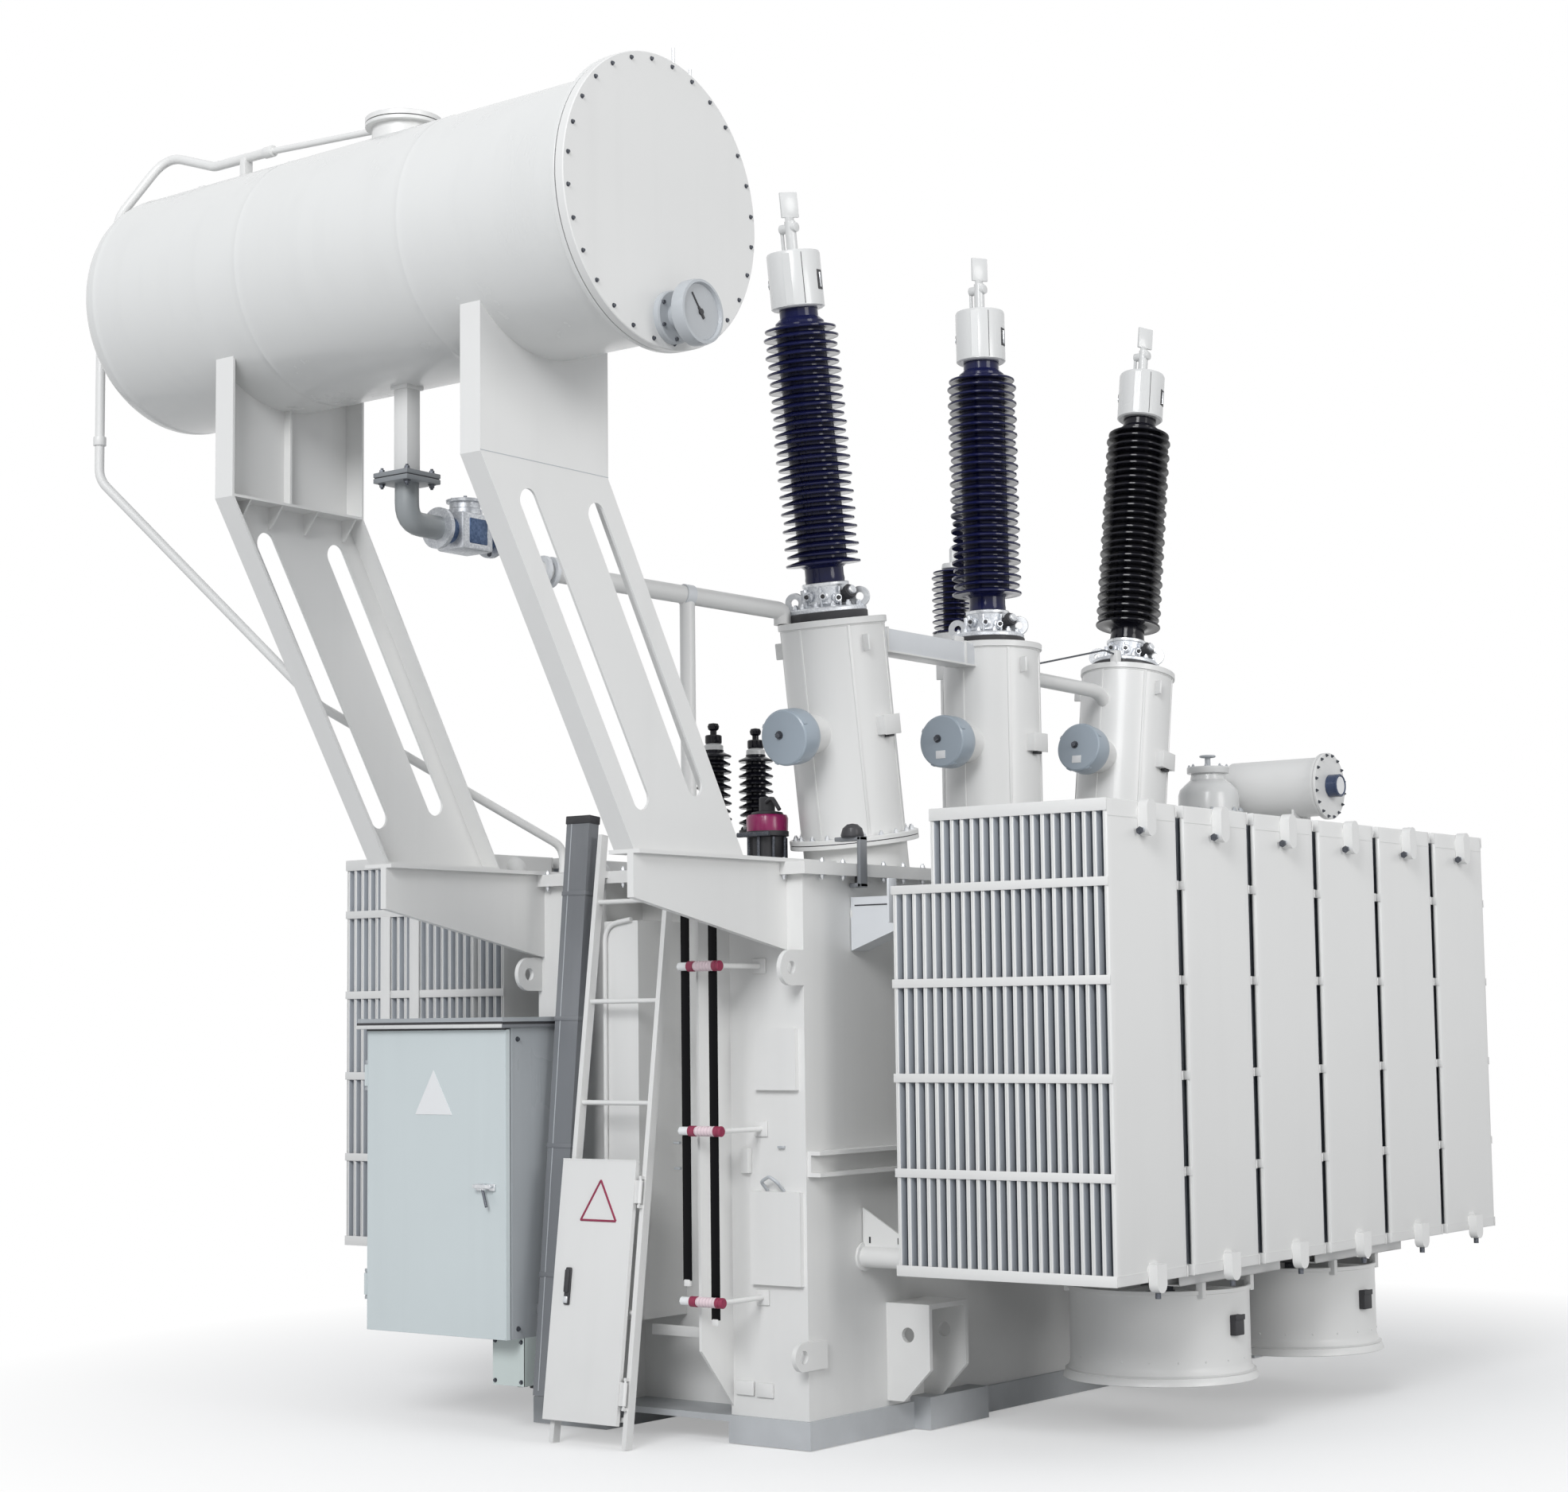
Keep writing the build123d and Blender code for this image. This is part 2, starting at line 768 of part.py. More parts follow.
def build_bushing(number):
    """A shedded bushing with its foot, cap and flag terminal."""
    place = bushing_place(number)
    profile = [(0, -bushing_bite), (bushing_foot_radius, -bushing_bite)]
    profile += [(bushing_foot_radius, bushing_foot_height)]
    profile += [(bushing_neck_radius, bushing_foot_height), (bushing_neck_radius, shed_start)]
    profile += shed_profile(shed_count, shed_start, shed_end, shed_radius, shed_root_radius, shed_thickness)
    neck = shed_root_radius * bushing_neck_share
    profile += [(neck, shed_end), (neck, bushing_cap_start)]
    profile += [(bushing_cap_radius, bushing_cap_start), (bushing_cap_radius, bushing_cap_end)]
    profile += [(terminal_rod_radius, bushing_cap_end), (terminal_rod_radius, terminal_rod_end)]
    profile += [(0, terminal_rod_end)]
    body = turned(profile, place)
    flag_height = terminal_end - terminal_rod_end + terminal_rod_radius
    middle = terminal_end - flag_height / 2
    body += place * Pos(0, 0, middle) * Box(terminal_plate, terminal_width, flag_height)
    return body - build_turret(number)


def build_box_link():
    """The square duct between the tops of the first two turrets."""
    start = turret_level(0, link_share)
    end = turret_level(1, link_share)
    half = link_size / 2
    middle = (start.Z + end.Z) / 2
    body = block((start.X - half, start.X + half), (start.Y, end.Y), (middle - half, middle + half))
    return body - build_turret(0) - build_turret(1)


def build_pipe_link():
    """The arched pipe between the second and third turrets."""
    start = turret_level(1, link_pipe_share)
    end = turret_level(2, link_pipe_share)
    rise = Vector(0, turret_radius + link_pipe_rise, link_pipe_rise)
    fall = Vector(0, -turret_radius - link_pipe_rise, link_pipe_rise)
    points = [tuple(start), tuple(start + rise), tuple(end + fall), tuple(end)]
    body = pipe(points, link_pipe_radius, turret_radius)
    return body - build_turret(1) - build_turret(2)


def build_gas_pipe():
    """The sloping pipe from the relay to the top of the first turret, with its post."""
    foot = (turret_place(0) * Pos(-gas_foot, -gas_foot, turret_length)).position
    start = Vector(downpipe_x, end_y - relay_end, relay_z)
    level_end = start + Vector(0, gas_run, 0)
    low = level_end + Vector(0, gas_run, -gas_drop)
    above = foot + Vector(0, 0, gas_foot_rise)
    points = [tuple(point) for point in (start, level_end, low, above, foot)]
    body = pipe(points, gas_radius, gas_bend)
    top = low + (above - low) * post_share
    post = rod((top.X, top.Y, lid_top), tuple(top), post_radius)
    return body + post - build_turret(0)


# Radiators


def radiator_panels(first, last, top):
    """Upright panels in a row along X, counted from the tank."""
    panels = []
    for number in range(first, last):
        x = number * panel_pitch
        half = panel_width / 2
        panels.append(block((x, x + panel_thickness), (-half, half), (panel_bottom, top)))
    return panels


def build_radiator(gap, drop):
    """One radiator: panels on two headers, tie bars, and two stubs to the tank wall."""
    shapes = radiator_panels(0, short_panels, panel_short_top)
    shapes += radiator_panels(short_panels, panel_count, panel_top - drop)
    end = (panel_count - 1) * panel_pitch + panel_thickness
    half = panel_width / 2
    for height in tie_heights:
        for y_pair in ((-half - tie_proud, tie_proud - half), (half - tie_proud, half + tie_proud)):
            shapes.append(block((0, end), y_pair, (height, height + tie_height)))
    high_start = short_panels * panel_pitch
    top_z = header_top_z - drop
    shapes.append(rod((high_start, 0, top_z), (end + header_radius, 0, top_z), header_radius))
    shapes.append(rod((-gap, 0, header_low_z), (end + header_radius, 0, header_low_z), header_radius))
    shapes.append(rod((-gap, 0, elbow_z), (high_start, 0, elbow_z), header_radius))
    neck_x = high_start - panel_pitch / 2
    shapes.append(rod((neck_x, 0, elbow_z), (neck_x, 0, top_z), header_radius))
    body = shapes[0].fuse(*shapes[1:])
    return Pos(right_x + gap, 0, 0) * body


def build_straps(gap):
    """Two flat upright straps across the face of the first left radiator."""
    face = -panel_width / 2 - tie_proud
    straps = None
    for place in strap_places:
        strap_x = (right_x + gap + place, right_x + gap + place + strap_width)
        strap = block(strap_x, (face - strap_thickness, face), (panel_bottom, strap_top))
        straps = strap if straps is None else straps + strap
    return straps


def radiator_y(number):
    """The middle of one bank along the tank."""
    return end_y + radiator_start + number * radiator_pitch


# Fans


def build_fan(gap):
    """A fan in a short tunnel with a bell mouth, hung from two rails."""
    outer = panel_count * panel_pitch
    x = right_x + gap + outer / 2
    place = Plane(origin=(x, 0, 0))
    skin = fan_wall
    profile = [(fan_bell_radius, fan_bottom), (fan_radius, fan_bell_z), (fan_radius, fan_top)]
    profile += [(fan_radius - skin, fan_top), (fan_radius - skin, fan_bell_z)]
    profile += [(fan_bell_radius - skin, fan_bottom)]
    tunnel = turned(profile, place)
    spoke_z = (fan_top - fan_spoke, fan_top)
    reach = fan_radius - skin / 2
    spokes = block((x - reach, x + reach), (-fan_spoke / 2, fan_spoke / 2), spoke_z)
    spokes += block((x - fan_spoke / 2, x + fan_spoke / 2), (-reach, reach), spoke_z)
    hub = rod((x, 0, fan_top - fan_hub_height), (x, 0, fan_top), fan_hub_radius)
    body = tunnel + spokes + hub
    rail_z = (fan_rail_z, header_low_z - header_radius)
    rail_end = radiator_pitch / 2 + panel_width * fan_rail_share
    grip = fan_hanger / 2
    for offset in (-fan_radius + fan_rail_width, fan_radius - fan_rail_width):
        rail_x = (x + offset - fan_rail_width / 2, x + offset + fan_rail_width / 2)
        body += block(rail_x, (-rail_end, rail_end), rail_z)
        for sign in (-1, 1):
            y = sign * (fan_radius ** 2 - offset ** 2) ** 0.5
            hanger_x = (x + offset - grip, x + offset + grip)
            body += block(hanger_x, (y - grip, y + grip), (fan_top - fan_hanger, fan_rail_z))
    return body


# Small fittings on the lid


def build_neutral():
    """The small neutral bushing on its own turret."""
    place = Plane(origin=(neutral_x, end_y + neutral_along, 0))
    sheds_start = neutral_turret_z + bushing_foot_height
    sheds_end = neutral_top_z - neutral_shed_radius
    profile = [(0, lid_top), (neutral_turret_radius, lid_top), (neutral_turret_radius, neutral_turret_z)]
    profile += [(neutral_shed_radius, neutral_turret_z), (neutral_shed_radius, sheds_start)]
    profile += shed_profile(neutral_sheds, sheds_start, sheds_end, neutral_shed_radius,
                            neutral_core_radius, shed_thickness)
    profile += [(terminal_rod_radius, sheds_end), (terminal_rod_radius, neutral_top_z), (0, neutral_top_z)]
    return turned(profile, place)


def build_lv_bushing(number):
    """A small upright bushing on the far side of the lid."""
    place = Plane(origin=(lv_x, end_y + lv_start + number * lv_pitch, 0))
    sheds_end = lv_top_z - lv_radius
    profile = [(0, lid_top), (lv_radius, lid_top), (lv_radius, lv_shed_z)]
    profile += shed_profile(lv_sheds, lv_shed_z, sheds_end, lv_radius, lv_core_radius, shed_thickness)
    profile += [(terminal_rod_radius, sheds_end), (terminal_rod_radius, lv_top_z), (0, lv_top_z)]
    return turned(profile, place)


def build_relief():
    """The pressure relief device with its wide cap."""
    place = Plane(origin=(relief_x, end_y + relief_along, lid_top))
    cap = relief_height - relief_neck_radius
    profile = [(0, 0), (relief_radius, 0), (relief_radius, lid_thickness)]
    profile += [(relief_neck_radius, lid_thickness)]
    profile += [(relief_neck_radius, cap), (relief_radius, cap), (relief_radius, relief_height)]
    return turned(profile + [(0, relief_height)], place)


def build_changer():
    """The domed head of the tap changer with its small hand wheel."""
    place = Plane(origin=(changer_x, end_y + changer_along, lid_top))
    top = changer_top_z - lid_top
    shoulder = top - changer_head_radius * 2
    wheel = top - changer_wheel_thickness
    dome = wheel - changer_stem
    profile = [(0, 0), (changer_radius, 0), (changer_radius, lid_thickness)]
    profile += [(changer_head_radius, shoulder), (changer_head_radius, top - changer_head_radius)]
    profile += [(changer_wheel_radius, dome), (changer_stem_radius, dome), (changer_stem_radius, wheel)]
    profile += [(changer_wheel_radius, wheel), (changer_wheel_radius, top), (0, top)]
    return turned(profile, place)


def build_small_drum():
    """The small conservator of the tap changer, on two saddles."""
    y = end_y + small_drum_along
    start = (small_drum_left_x, y, small_drum_z)
    end = (small_drum_right_x, y, small_drum_z)
    body = rod(start, end, small_drum_radius)
    flange_x = small_drum_right_x - small_flange_thickness * 2
    body += rod((flange_x, y, small_drum_z), end, small_flange_radius)
    half = small_saddle_width / 2
    for x in (small_drum_left_x + small_saddle, right_x - small_saddle - small_saddle):
        body += block((x, x + small_saddle), (y - half, y + half), (lid_top, small_drum_z))
    dial_end = (small_drum_right_x + small_dial_thickness, y, small_drum_z)
    return body + rod(end, dial_end, small_dial_radius)


# Control cabinet


def cabinet_span():
    """Front and back of the cabinet body, behind its door."""
    return cabinet_front_y + door_thickness + door_gap, cabinet_front_y + cabinet_depth


def hinge_levels(low, high, shares):
    """The middles of the hinges along an edge."""
    return [low + share * (high - low) for share in shares]


def build_cabinet():
    """The hollow cabinet body with its roof, wall brackets and hinge pins."""
    front, back = cabinet_span()
    outer_x = (cabinet_left_x, cabinet_right_x)
    body = block(outer_x, (front, back), (cabinet_bottom, cabinet_top))
    sheet = cabinet_sheet
    inner_x = (cabinet_left_x + sheet, cabinet_right_x - sheet)
    body -= block(inner_x, (front + sheet, back - sheet), (cabinet_bottom + sheet, cabinet_top - sheet))
    lip_x = (cabinet_left_x + cabinet_lip, cabinet_right_x - cabinet_lip)
    lip_z = (cabinet_bottom + cabinet_lip, cabinet_top - cabinet_lip)
    body -= block(lip_x, (front - sheet, front + cabinet_lip), lip_z)
    roof_x = (cabinet_left_x - roof_overhang, cabinet_right_x + roof_side)
    roof_z = (cabinet_top + door_gap, cabinet_top + roof_thickness)
    body += block(roof_x, (cabinet_front_y - roof_overhang, back), roof_z)
    body += block(outer_x, (front, back), (cabinet_top, cabinet_top + door_gap))
    column_x = (-right_x + bracket_size / 2, cabinet_right_x - bracket_size / 2)
    for level in hinge_levels(cabinet_bottom, cabinet_top, hinge_shares):
        body += block(column_x, (back, end_y), (level, level + bracket_size))
    axis_x = cabinet_left_x - hinge_offset
    axis_y = cabinet_front_y + door_thickness / 2
    for level in hinge_levels(cabinet_bottom, cabinet_top, hinge_shares):
        reach = hinge_length / 2 + hinge_gap + hinge_lug
        body += rod((axis_x, axis_y, level - reach), (axis_x, axis_y, level + reach), hinge_pin_radius)
        for low in (level - reach, level + reach - hinge_lug):
            lug_x = (axis_x - hinge_pin_radius, cabinet_left_x)
            lug_y = (axis_y - hinge_pin_radius, front + bracket_size / 2)
            body += block(lug_x, lug_y, (low, low + hinge_lug)) - build_door_space()
    return body


def build_door_space():
    """The room that the door and its edge gap take in front of the body."""
    space_x = (cabinet_left_x - hinge_gap, cabinet_right_x)
    return block(space_x, (cabinet_front_y, cabinet_span()[0]), (cabinet_bottom, cabinet_top))


def build_door():
    """The cabinet door with its hinge knuckles."""
    body_y = (cabinet_front_y, cabinet_front_y + door_thickness)
    body = block((cabinet_left_x, cabinet_right_x), body_y, (cabinet_bottom, cabinet_top))
    axis_x = cabinet_left_x - hinge_offset
    axis_y = cabinet_front_y + door_thickness / 2
    half = hinge_length / 2
    for level in hinge_levels(cabinet_bottom, cabinet_top, hinge_shares):
        leaf_y = (axis_y - hinge_pin_radius, axis_y + hinge_pin_radius)
        body += block((axis_x, cabinet_left_x), leaf_y, (level - half, level + half))
        body += rod((axis_x, axis_y, level - half), (axis_x, axis_y, level + half), hinge_radius)
        body -= rod((axis_x, axis_y, level - half), (axis_x, axis_y, level + half), hinge_bore)
    return body


def build_cable_box():
    """The small box under the cabinet where cables enter."""
    back = cabinet_front_y + cabinet_depth - cabinet_lip
    box_x = (cabinet_right_x - cable_box_width, cabinet_right_x)
    box_z = (cabinet_bottom - cable_box_height, cabinet_bottom)
    return block(box_x, (back - cable_box_depth, back), box_z)


# Ladder, guard and cable duct


def ladder_place():
    """The leaning plane of the ladder: Z runs up the rails, -Y faces out."""
    foot = end_y - ladder_foot_out
    lean = (0, ladder_foot_out - ladder_top_out, ladder_top_z)
    return Plane(origin=(0, foot, 0), x_dir=(1, 0, 0), z_dir=lean)


def ladder_length():
    """The length of a rail along its slope."""
    return Vector(0, ladder_foot_out - ladder_top_out, ladder_top_z).length


def guard_axis():
    """The hinge axis of the guard in the ladder's own plane."""
    return ladder_right_x, -rail_depth / 2 - guard_gap - guard_thickness / 2


def guard_levels():
    """Bottom and top of the guard along the rails."""
    return guard_bottom_share * ladder_length(), guard_top_share * ladder_length()


def build_ladder():
    """Two rails, their rungs, the hooks on the lid and the guard's hinge pins."""
    length = ladder_length()
    half = rail_width / 2
    body = None
    for x in (ladder_left_x, ladder_right_x):
        rail = block((x - half, x + half), (-rail_depth / 2, rail_depth / 2), (0, length))
        body = rail if body is None else body + rail
    step = (rung_last_share - rung_first_share) / (rung_count - 1)
    for number in range(rung_count):
        level = (rung_first_share + number * step) * length
        body += rod((ladder_left_x, 0, level), (ladder_right_x, 0, level), rung_radius)
    axis_x, axis_y = guard_axis()
    for level in hinge_levels(*guard_levels(), guard_hinge_shares):
        reach = hinge_length / 2 + hinge_gap + hinge_lug
        body += rod((axis_x, axis_y, level - reach), (axis_x, axis_y, level + reach), hinge_pin_radius)
        for low in (level - reach, level + reach - hinge_lug):
            lug_x = (axis_x - hinge_pin_radius, axis_x + hinge_pin_radius)
            body += block(lug_x, (axis_y - hinge_pin_radius, 0), (low, low + hinge_lug))
    body = ladder_place() * body
    slope = (ladder_foot_out - ladder_top_out) / ladder_top_z
    hook_z = (lid_top - hook_size, lid_top)
    hook_y = (end_y - ladder_foot_out + slope * lid_top, end_y - rim_overhang)
    for x in (ladder_left_x, ladder_right_x):
        body += block((x - half, x + half), hook_y, hook_z)
    return body


def build_guard():
    """The hinged panel that covers the lower rungs, with its knuckles."""
    low, high = guard_levels()
    axis_x, axis_y = guard_axis()
    half = guard_thickness / 2
    edge = axis_x - hinge_offset - hinge_gap
    body = block((ladder_left_x - guard_overlap, edge), (axis_y - half, axis_y + half), (low, high))
    for level in hinge_levels(low, high, guard_hinge_shares):
        span = hinge_length / 2
        leaf_y = (axis_y - hinge_pin_radius, axis_y + hinge_pin_radius)
        body += block((edge, axis_x), leaf_y, (level - span, level + span))
        body += rod((axis_x, axis_y, level - span), (axis_x, axis_y, level + span), hinge_radius)
        body -= rod((axis_x, axis_y, level - span), (axis_x, axis_y, level + span), hinge_bore)
    return ladder_place() * body


def build_duct():
    """The leaning cable duct with straps to the lid and the end wall."""
    foot_y = end_y - duct_foot_out
    rise = duct_top_z - duct_foot_z
    lean = Vector(0, duct_foot_out - duct_top_out, rise)
    place = Plane(origin=(0, foot_y, duct_foot_z), x_dir=(1, 0, 0), z_dir=lean)
    half = duct_depth / 2
    body = place * block((duct_left_x, duct_right_x), (-half, half), (0, lean.length))
    slope = lean.Y / rise
    middle = (duct_left_x + duct_right_x) / 2
    strap_x = (middle - duct_strap, middle + duct_strap)
    lid_y = foot_y + slope * (lid_top - duct_foot_z)
    body += block(strap_x, (lid_y, end_y - rim_overhang), (lid_top - hook_size, lid_top))
    low_y = foot_y + slope * (duct_strap_z - duct_foot_z)
    strap_x = (cabinet_right_x + hinge_gap, middle)
    return body + block(strap_x, (low_y, end_y), (duct_strap_z, duct_strap_z + duct_strap))


# Earthing bars


def build_bar(number):
    """One flat copper bar that runs down the end of the tank."""
    x = bar_xs[number]
    y = end_y - bar_reach
    half = bar_width / 2
    bar_y = (y - bar_thickness / 2, y + bar_thickness / 2)
    return block((x - half, x + half), bar_y, (bar_bottoms[number], bar_top))


def build_support(height):
    """An insulated cross bar in front of the bars, with its arm to the wall."""
    y = end_y - bar_reach - bar_thickness / 2 - support_radius + support_bite
    arm_x = support_right_x - support_radius
    body = rod((support_left_x, y, height), (support_right_x, y, height), support_radius)
    body += rod((arm_x, y, height), (arm_x, end_y, height), support_arm_radius)
    return body - build_bar(0) - build_bar(1)


# The hollow sides of both arms face the middle of the transformer.
arm_left_middle = Plane.YZ.offset(arm_left_x - arm_depth / 2)
pieces = {
    "tank_base": build_base(),
    "tank_walls": build_walls(),
    "tank_lid": build_lid(),
    "end_box": build_end_box(),
    "arm_bracket_right": build_bracket(arm_right_x),
    "arm_bracket_left": build_bracket(arm_left_x),
    "conservator_arm_right": build_arm(arm_right_x),
    "conservator_arm_left": mirror(build_arm(arm_left_x), about=arm_left_middle),
    "conservator_shell": build_drum(),
    "conservator_cover": build_drum_cover(),
    "conservator_hatch": build_hatch(),
    "oil_gauge": build_gauge(),
    "breather_pipe": build_breather(),
    "breather_downcomer": build_downcomer(),
    "oil_downpipe": build_downpipe(),
    "gas_relay": build_relay(),
    "gas_pipe": build_gas_pipe(),
    "neutral_bushing": build_neutral(),
    "pressure_relief": build_relief(),
    "tap_changer_head": build_changer(),
    "small_conservator": build_small_drum(),
    "control_cabinet": build_cabinet(),
    "cabinet_door": build_door(),
    "cable_box": build_cable_box(),
    "ladder": build_ladder(),
    "ladder_guard": build_guard(),
    "cable_duct": build_duct(),
    "earthing_bar_left": build_bar(0),
    "earthing_bar_right": build_bar(1),
}

for number in range(3):
    pieces[f"turret_{number + 1}"] = build_turret(number)
    pieces[f"bushing_{number + 1}"] = build_bushing(number)

pieces["turret_link_1"] = build_box_link()
pieces["turret_link_2"] = build_pipe_link()

for number in range(lv_count):
    pieces[f"low_voltage_bushing_{number + 1}"] = build_lv_bushing(number)

for number, height in enumerate(support_heights):
    pieces[f"bar_support_{number + 1}"] = build_support(height)

right_radiator = build_radiator(radiator_gap_right, 0)
left_radiator = mirrored(build_radiator(radiator_gap_left, radiator_left_drop))
for number in range(radiator_count):
    place = Pos(0, radiator_y(number), 0)
    pieces[f"radiator_right_{number + 1}"] = place * right_radiator
    pieces[f"radiator_left_{number + 1}"] = place * left_radiator
straps = Pos(0, radiator_y(0), 0) * mirrored(build_straps(radiator_gap_left))
pieces["radiator_left_1"] = pieces["radiator_left_1"] + straps

right_fan = build_fan(radiator_gap_right)
left_fan = mirrored(build_fan(radiator_gap_left))
for number, first in ((1, 1), (2, 3)):
    middle = (radiator_y(first) + radiator_y(first + 1)) / 2
    pieces[f"fan_right_{number}"] = Pos(0, middle, 0) * right_fan
    pieces[f"fan_left_{number}"] = Pos(0, middle, 0) * left_fan

jack = build_jack_box()
pieces["jack_box_right"] = jack
pieces["jack_box_left"] = mirrored(jack)

os.makedirs("parts", exist_ok=True)
for name, piece in pieces.items():
    export_step(piece, f"parts/{name}.step")
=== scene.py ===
# %% [markdown]
# # A power transformer
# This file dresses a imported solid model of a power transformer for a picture. The real machine is a
# painted steel tank full of oil, with radiators on both sides, an oil drum on two arms above its end,
# and three shedded bushings that lead high voltage in. The solids already have the right sizes, so this
# lesson adds what solids leave out: rounded edges, bolts, sheds, dials, and finishes that catch light.

# %% Load the frame
from math import acos, asin, cos, pi, radians, sin, sqrt, tan

import bmesh
import bpy
from mathutils import Matrix, Vector


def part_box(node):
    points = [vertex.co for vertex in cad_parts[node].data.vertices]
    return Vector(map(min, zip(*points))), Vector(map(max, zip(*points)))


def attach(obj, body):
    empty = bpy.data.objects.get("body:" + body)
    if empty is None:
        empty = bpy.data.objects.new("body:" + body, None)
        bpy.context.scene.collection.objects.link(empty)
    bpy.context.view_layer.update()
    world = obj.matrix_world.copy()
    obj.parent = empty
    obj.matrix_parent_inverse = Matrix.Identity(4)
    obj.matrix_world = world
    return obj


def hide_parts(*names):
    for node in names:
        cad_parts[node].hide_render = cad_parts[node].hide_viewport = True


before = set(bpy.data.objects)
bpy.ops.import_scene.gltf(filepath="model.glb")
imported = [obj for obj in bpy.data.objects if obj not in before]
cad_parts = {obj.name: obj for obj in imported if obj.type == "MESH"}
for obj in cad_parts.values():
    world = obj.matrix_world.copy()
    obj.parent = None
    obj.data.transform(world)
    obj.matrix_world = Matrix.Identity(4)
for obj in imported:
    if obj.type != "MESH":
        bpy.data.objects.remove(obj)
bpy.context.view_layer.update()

# %% [markdown]
# Paint on a machine this large is never one flat colour. Rain leaves faint upright streaks, dust settles
# on ledges and near the ground, and the sprayed coat has a fine orange-peel skin. Every painted piece
# shares these effects, so they are built once, as a shader node group with named inputs, and each
# paint sets its own amounts. Object coordinates keep the pattern fixed to the machine.

# %% A node group for weathered paint
def new_group(name, inputs, outputs):
    group = bpy.data.node_groups.new(name, "ShaderNodeTree")
    for label, kind, value in inputs:
        socket = group.interface.new_socket(name=label, in_out="INPUT", socket_type=kind)
        socket.default_value = value
    for label, kind in outputs:
        group.interface.new_socket(name=label, in_out="OUTPUT", socket_type=kind)
    start = group.nodes.new("NodeGroupInput")
    end = group.nodes.new("NodeGroupOutput")
    return group, start, end


def add_node(tree, kind, settings=None, **values):
    node = tree.nodes.new(kind)
    for key, value in (settings or {}).items():
        setattr(node, key, value)
    for key, value in values.items():
        node.inputs[key.replace("_", " ")].default_value = value
    return node


def noise(tree, where, scale, detail=3.0, stretch=(1, 1, 1)):
    mapping = add_node(tree, "ShaderNodeMapping", Scale=stretch)
    tree.links.new(where, mapping.inputs["Vector"])
    pattern = add_node(tree, "ShaderNodeTexNoise", Scale=scale, Detail=detail)
    tree.links.new(mapping.outputs["Vector"], pattern.inputs["Vector"])
    return pattern.outputs["Fac"]


def remap(tree, value, low, high, to_low, to_high):
    node = add_node(tree, "ShaderNodeMapRange")
    for index, number in ((1, low), (2, high), (3, to_low), (4, to_high)):
        node.inputs[index].default_value = number
    tree.links.new(value, node.inputs[0])
    return node.outputs[0]


def maths(tree, operation, first, second):
    node = add_node(tree, "ShaderNodeMath", {"operation": operation})
    for index, value in enumerate((first, second)):
        if isinstance(value, (int, float)):
            node.inputs[index].default_value = value
        else:
            tree.links.new(value, node.inputs[index])
    return node.outputs[0]


def blend_colour(tree, factor, first, second):
    node = add_node(tree, "ShaderNodeMix", {"data_type": "RGBA"})
    for index, value in ((0, factor), (6, first), (7, second)):
        if isinstance(value, (int, float, tuple)):
            node.inputs[index].default_value = value
        else:
            tree.links.new(value, node.inputs[index])
    return node.outputs[2]


def make_weathered_paint():
    group, start, end = new_group(
        "weathered_paint",
        [("Paint", "NodeSocketColor", (0.8, 0.8, 0.8, 1)), ("Grime", "NodeSocketColor", (0.4, 0.38, 0.34, 1)),
         ("Mottle", "NodeSocketFloat", 0.05), ("Streaks", "NodeSocketFloat", 0.06),
         ("Dust", "NodeSocketFloat", 0.25), ("Sheen", "NodeSocketFloat", 0.38)],
        [("Colour", "NodeSocketColor"), ("Roughness", "NodeSocketFloat"), ("Height", "NodeSocketFloat")])
    where = add_node(group, "ShaderNodeTexCoord").outputs["Object"]
    broad = remap(group, noise(group, where, 1.7, 4), 0.3, 0.7, 0, 1)
    rain = remap(group, noise(group, where, 9.0, 5, (1, 1, 0.045)), 0.52, 0.75, 0, 1)
    parts = add_node(group, "ShaderNodeSeparateXYZ")
    group.links.new(where, parts.inputs[0])
    low = remap(group, parts.outputs["Z"], 0.0, 0.7, 1, 0)
    splash = maths(group, "MULTIPLY", low, noise(group, where, 6, 6))
    facing = add_node(group, "ShaderNodeSeparateXYZ")
    group.links.new(add_node(group, "ShaderNodeNewGeometry").outputs["Normal"], facing.inputs[0])
    ledge = remap(group, facing.outputs["Z"], 0.6, 1.0, 0, 0.5)
    settled = maths(group, "MULTIPLY", maths(group, "ADD", splash, ledge), start.outputs["Dust"])
    streaked = maths(group, "MULTIPLY", rain, start.outputs["Streaks"])
    mottled = maths(group, "MULTIPLY", broad, start.outputs["Mottle"])
    dirt = maths(group, "MINIMUM", maths(group, "ADD", maths(group, "ADD", settled, streaked), mottled), 1)
    group.links.new(blend_colour(group, dirt, start.outputs["Paint"], start.outputs["Grime"]),
                    end.inputs["Colour"])
    group.links.new(maths(group, "ADD", start.outputs["Sheen"], maths(group, "MULTIPLY", dirt, 0.7)),
                    end.inputs["Roughness"])
    peel = maths(group, "MULTIPLY", noise(group, where, 320, 2), 0.6)
    wave = maths(group, "MULTIPLY", noise(group, where, 2.2, 2), 2.0)
    group.links.new(maths(group, "ADD", peel, wave), end.inputs["Height"])
    return group


weathered_paint = make_weathered_paint()
print("node group:", weathered_paint.name, len(weathered_paint.nodes), "nodes")

# %% [markdown]
# Bare metal needs another effect: zinc freezes in flat crystals, and cast metal has a fine grain. A
# Voronoi pattern gives each crystal its own shade, and noise roughens the skin. The third group gives
# glazed porcelain and resin their slow change of tone and a film of dust that dulls the gloss.

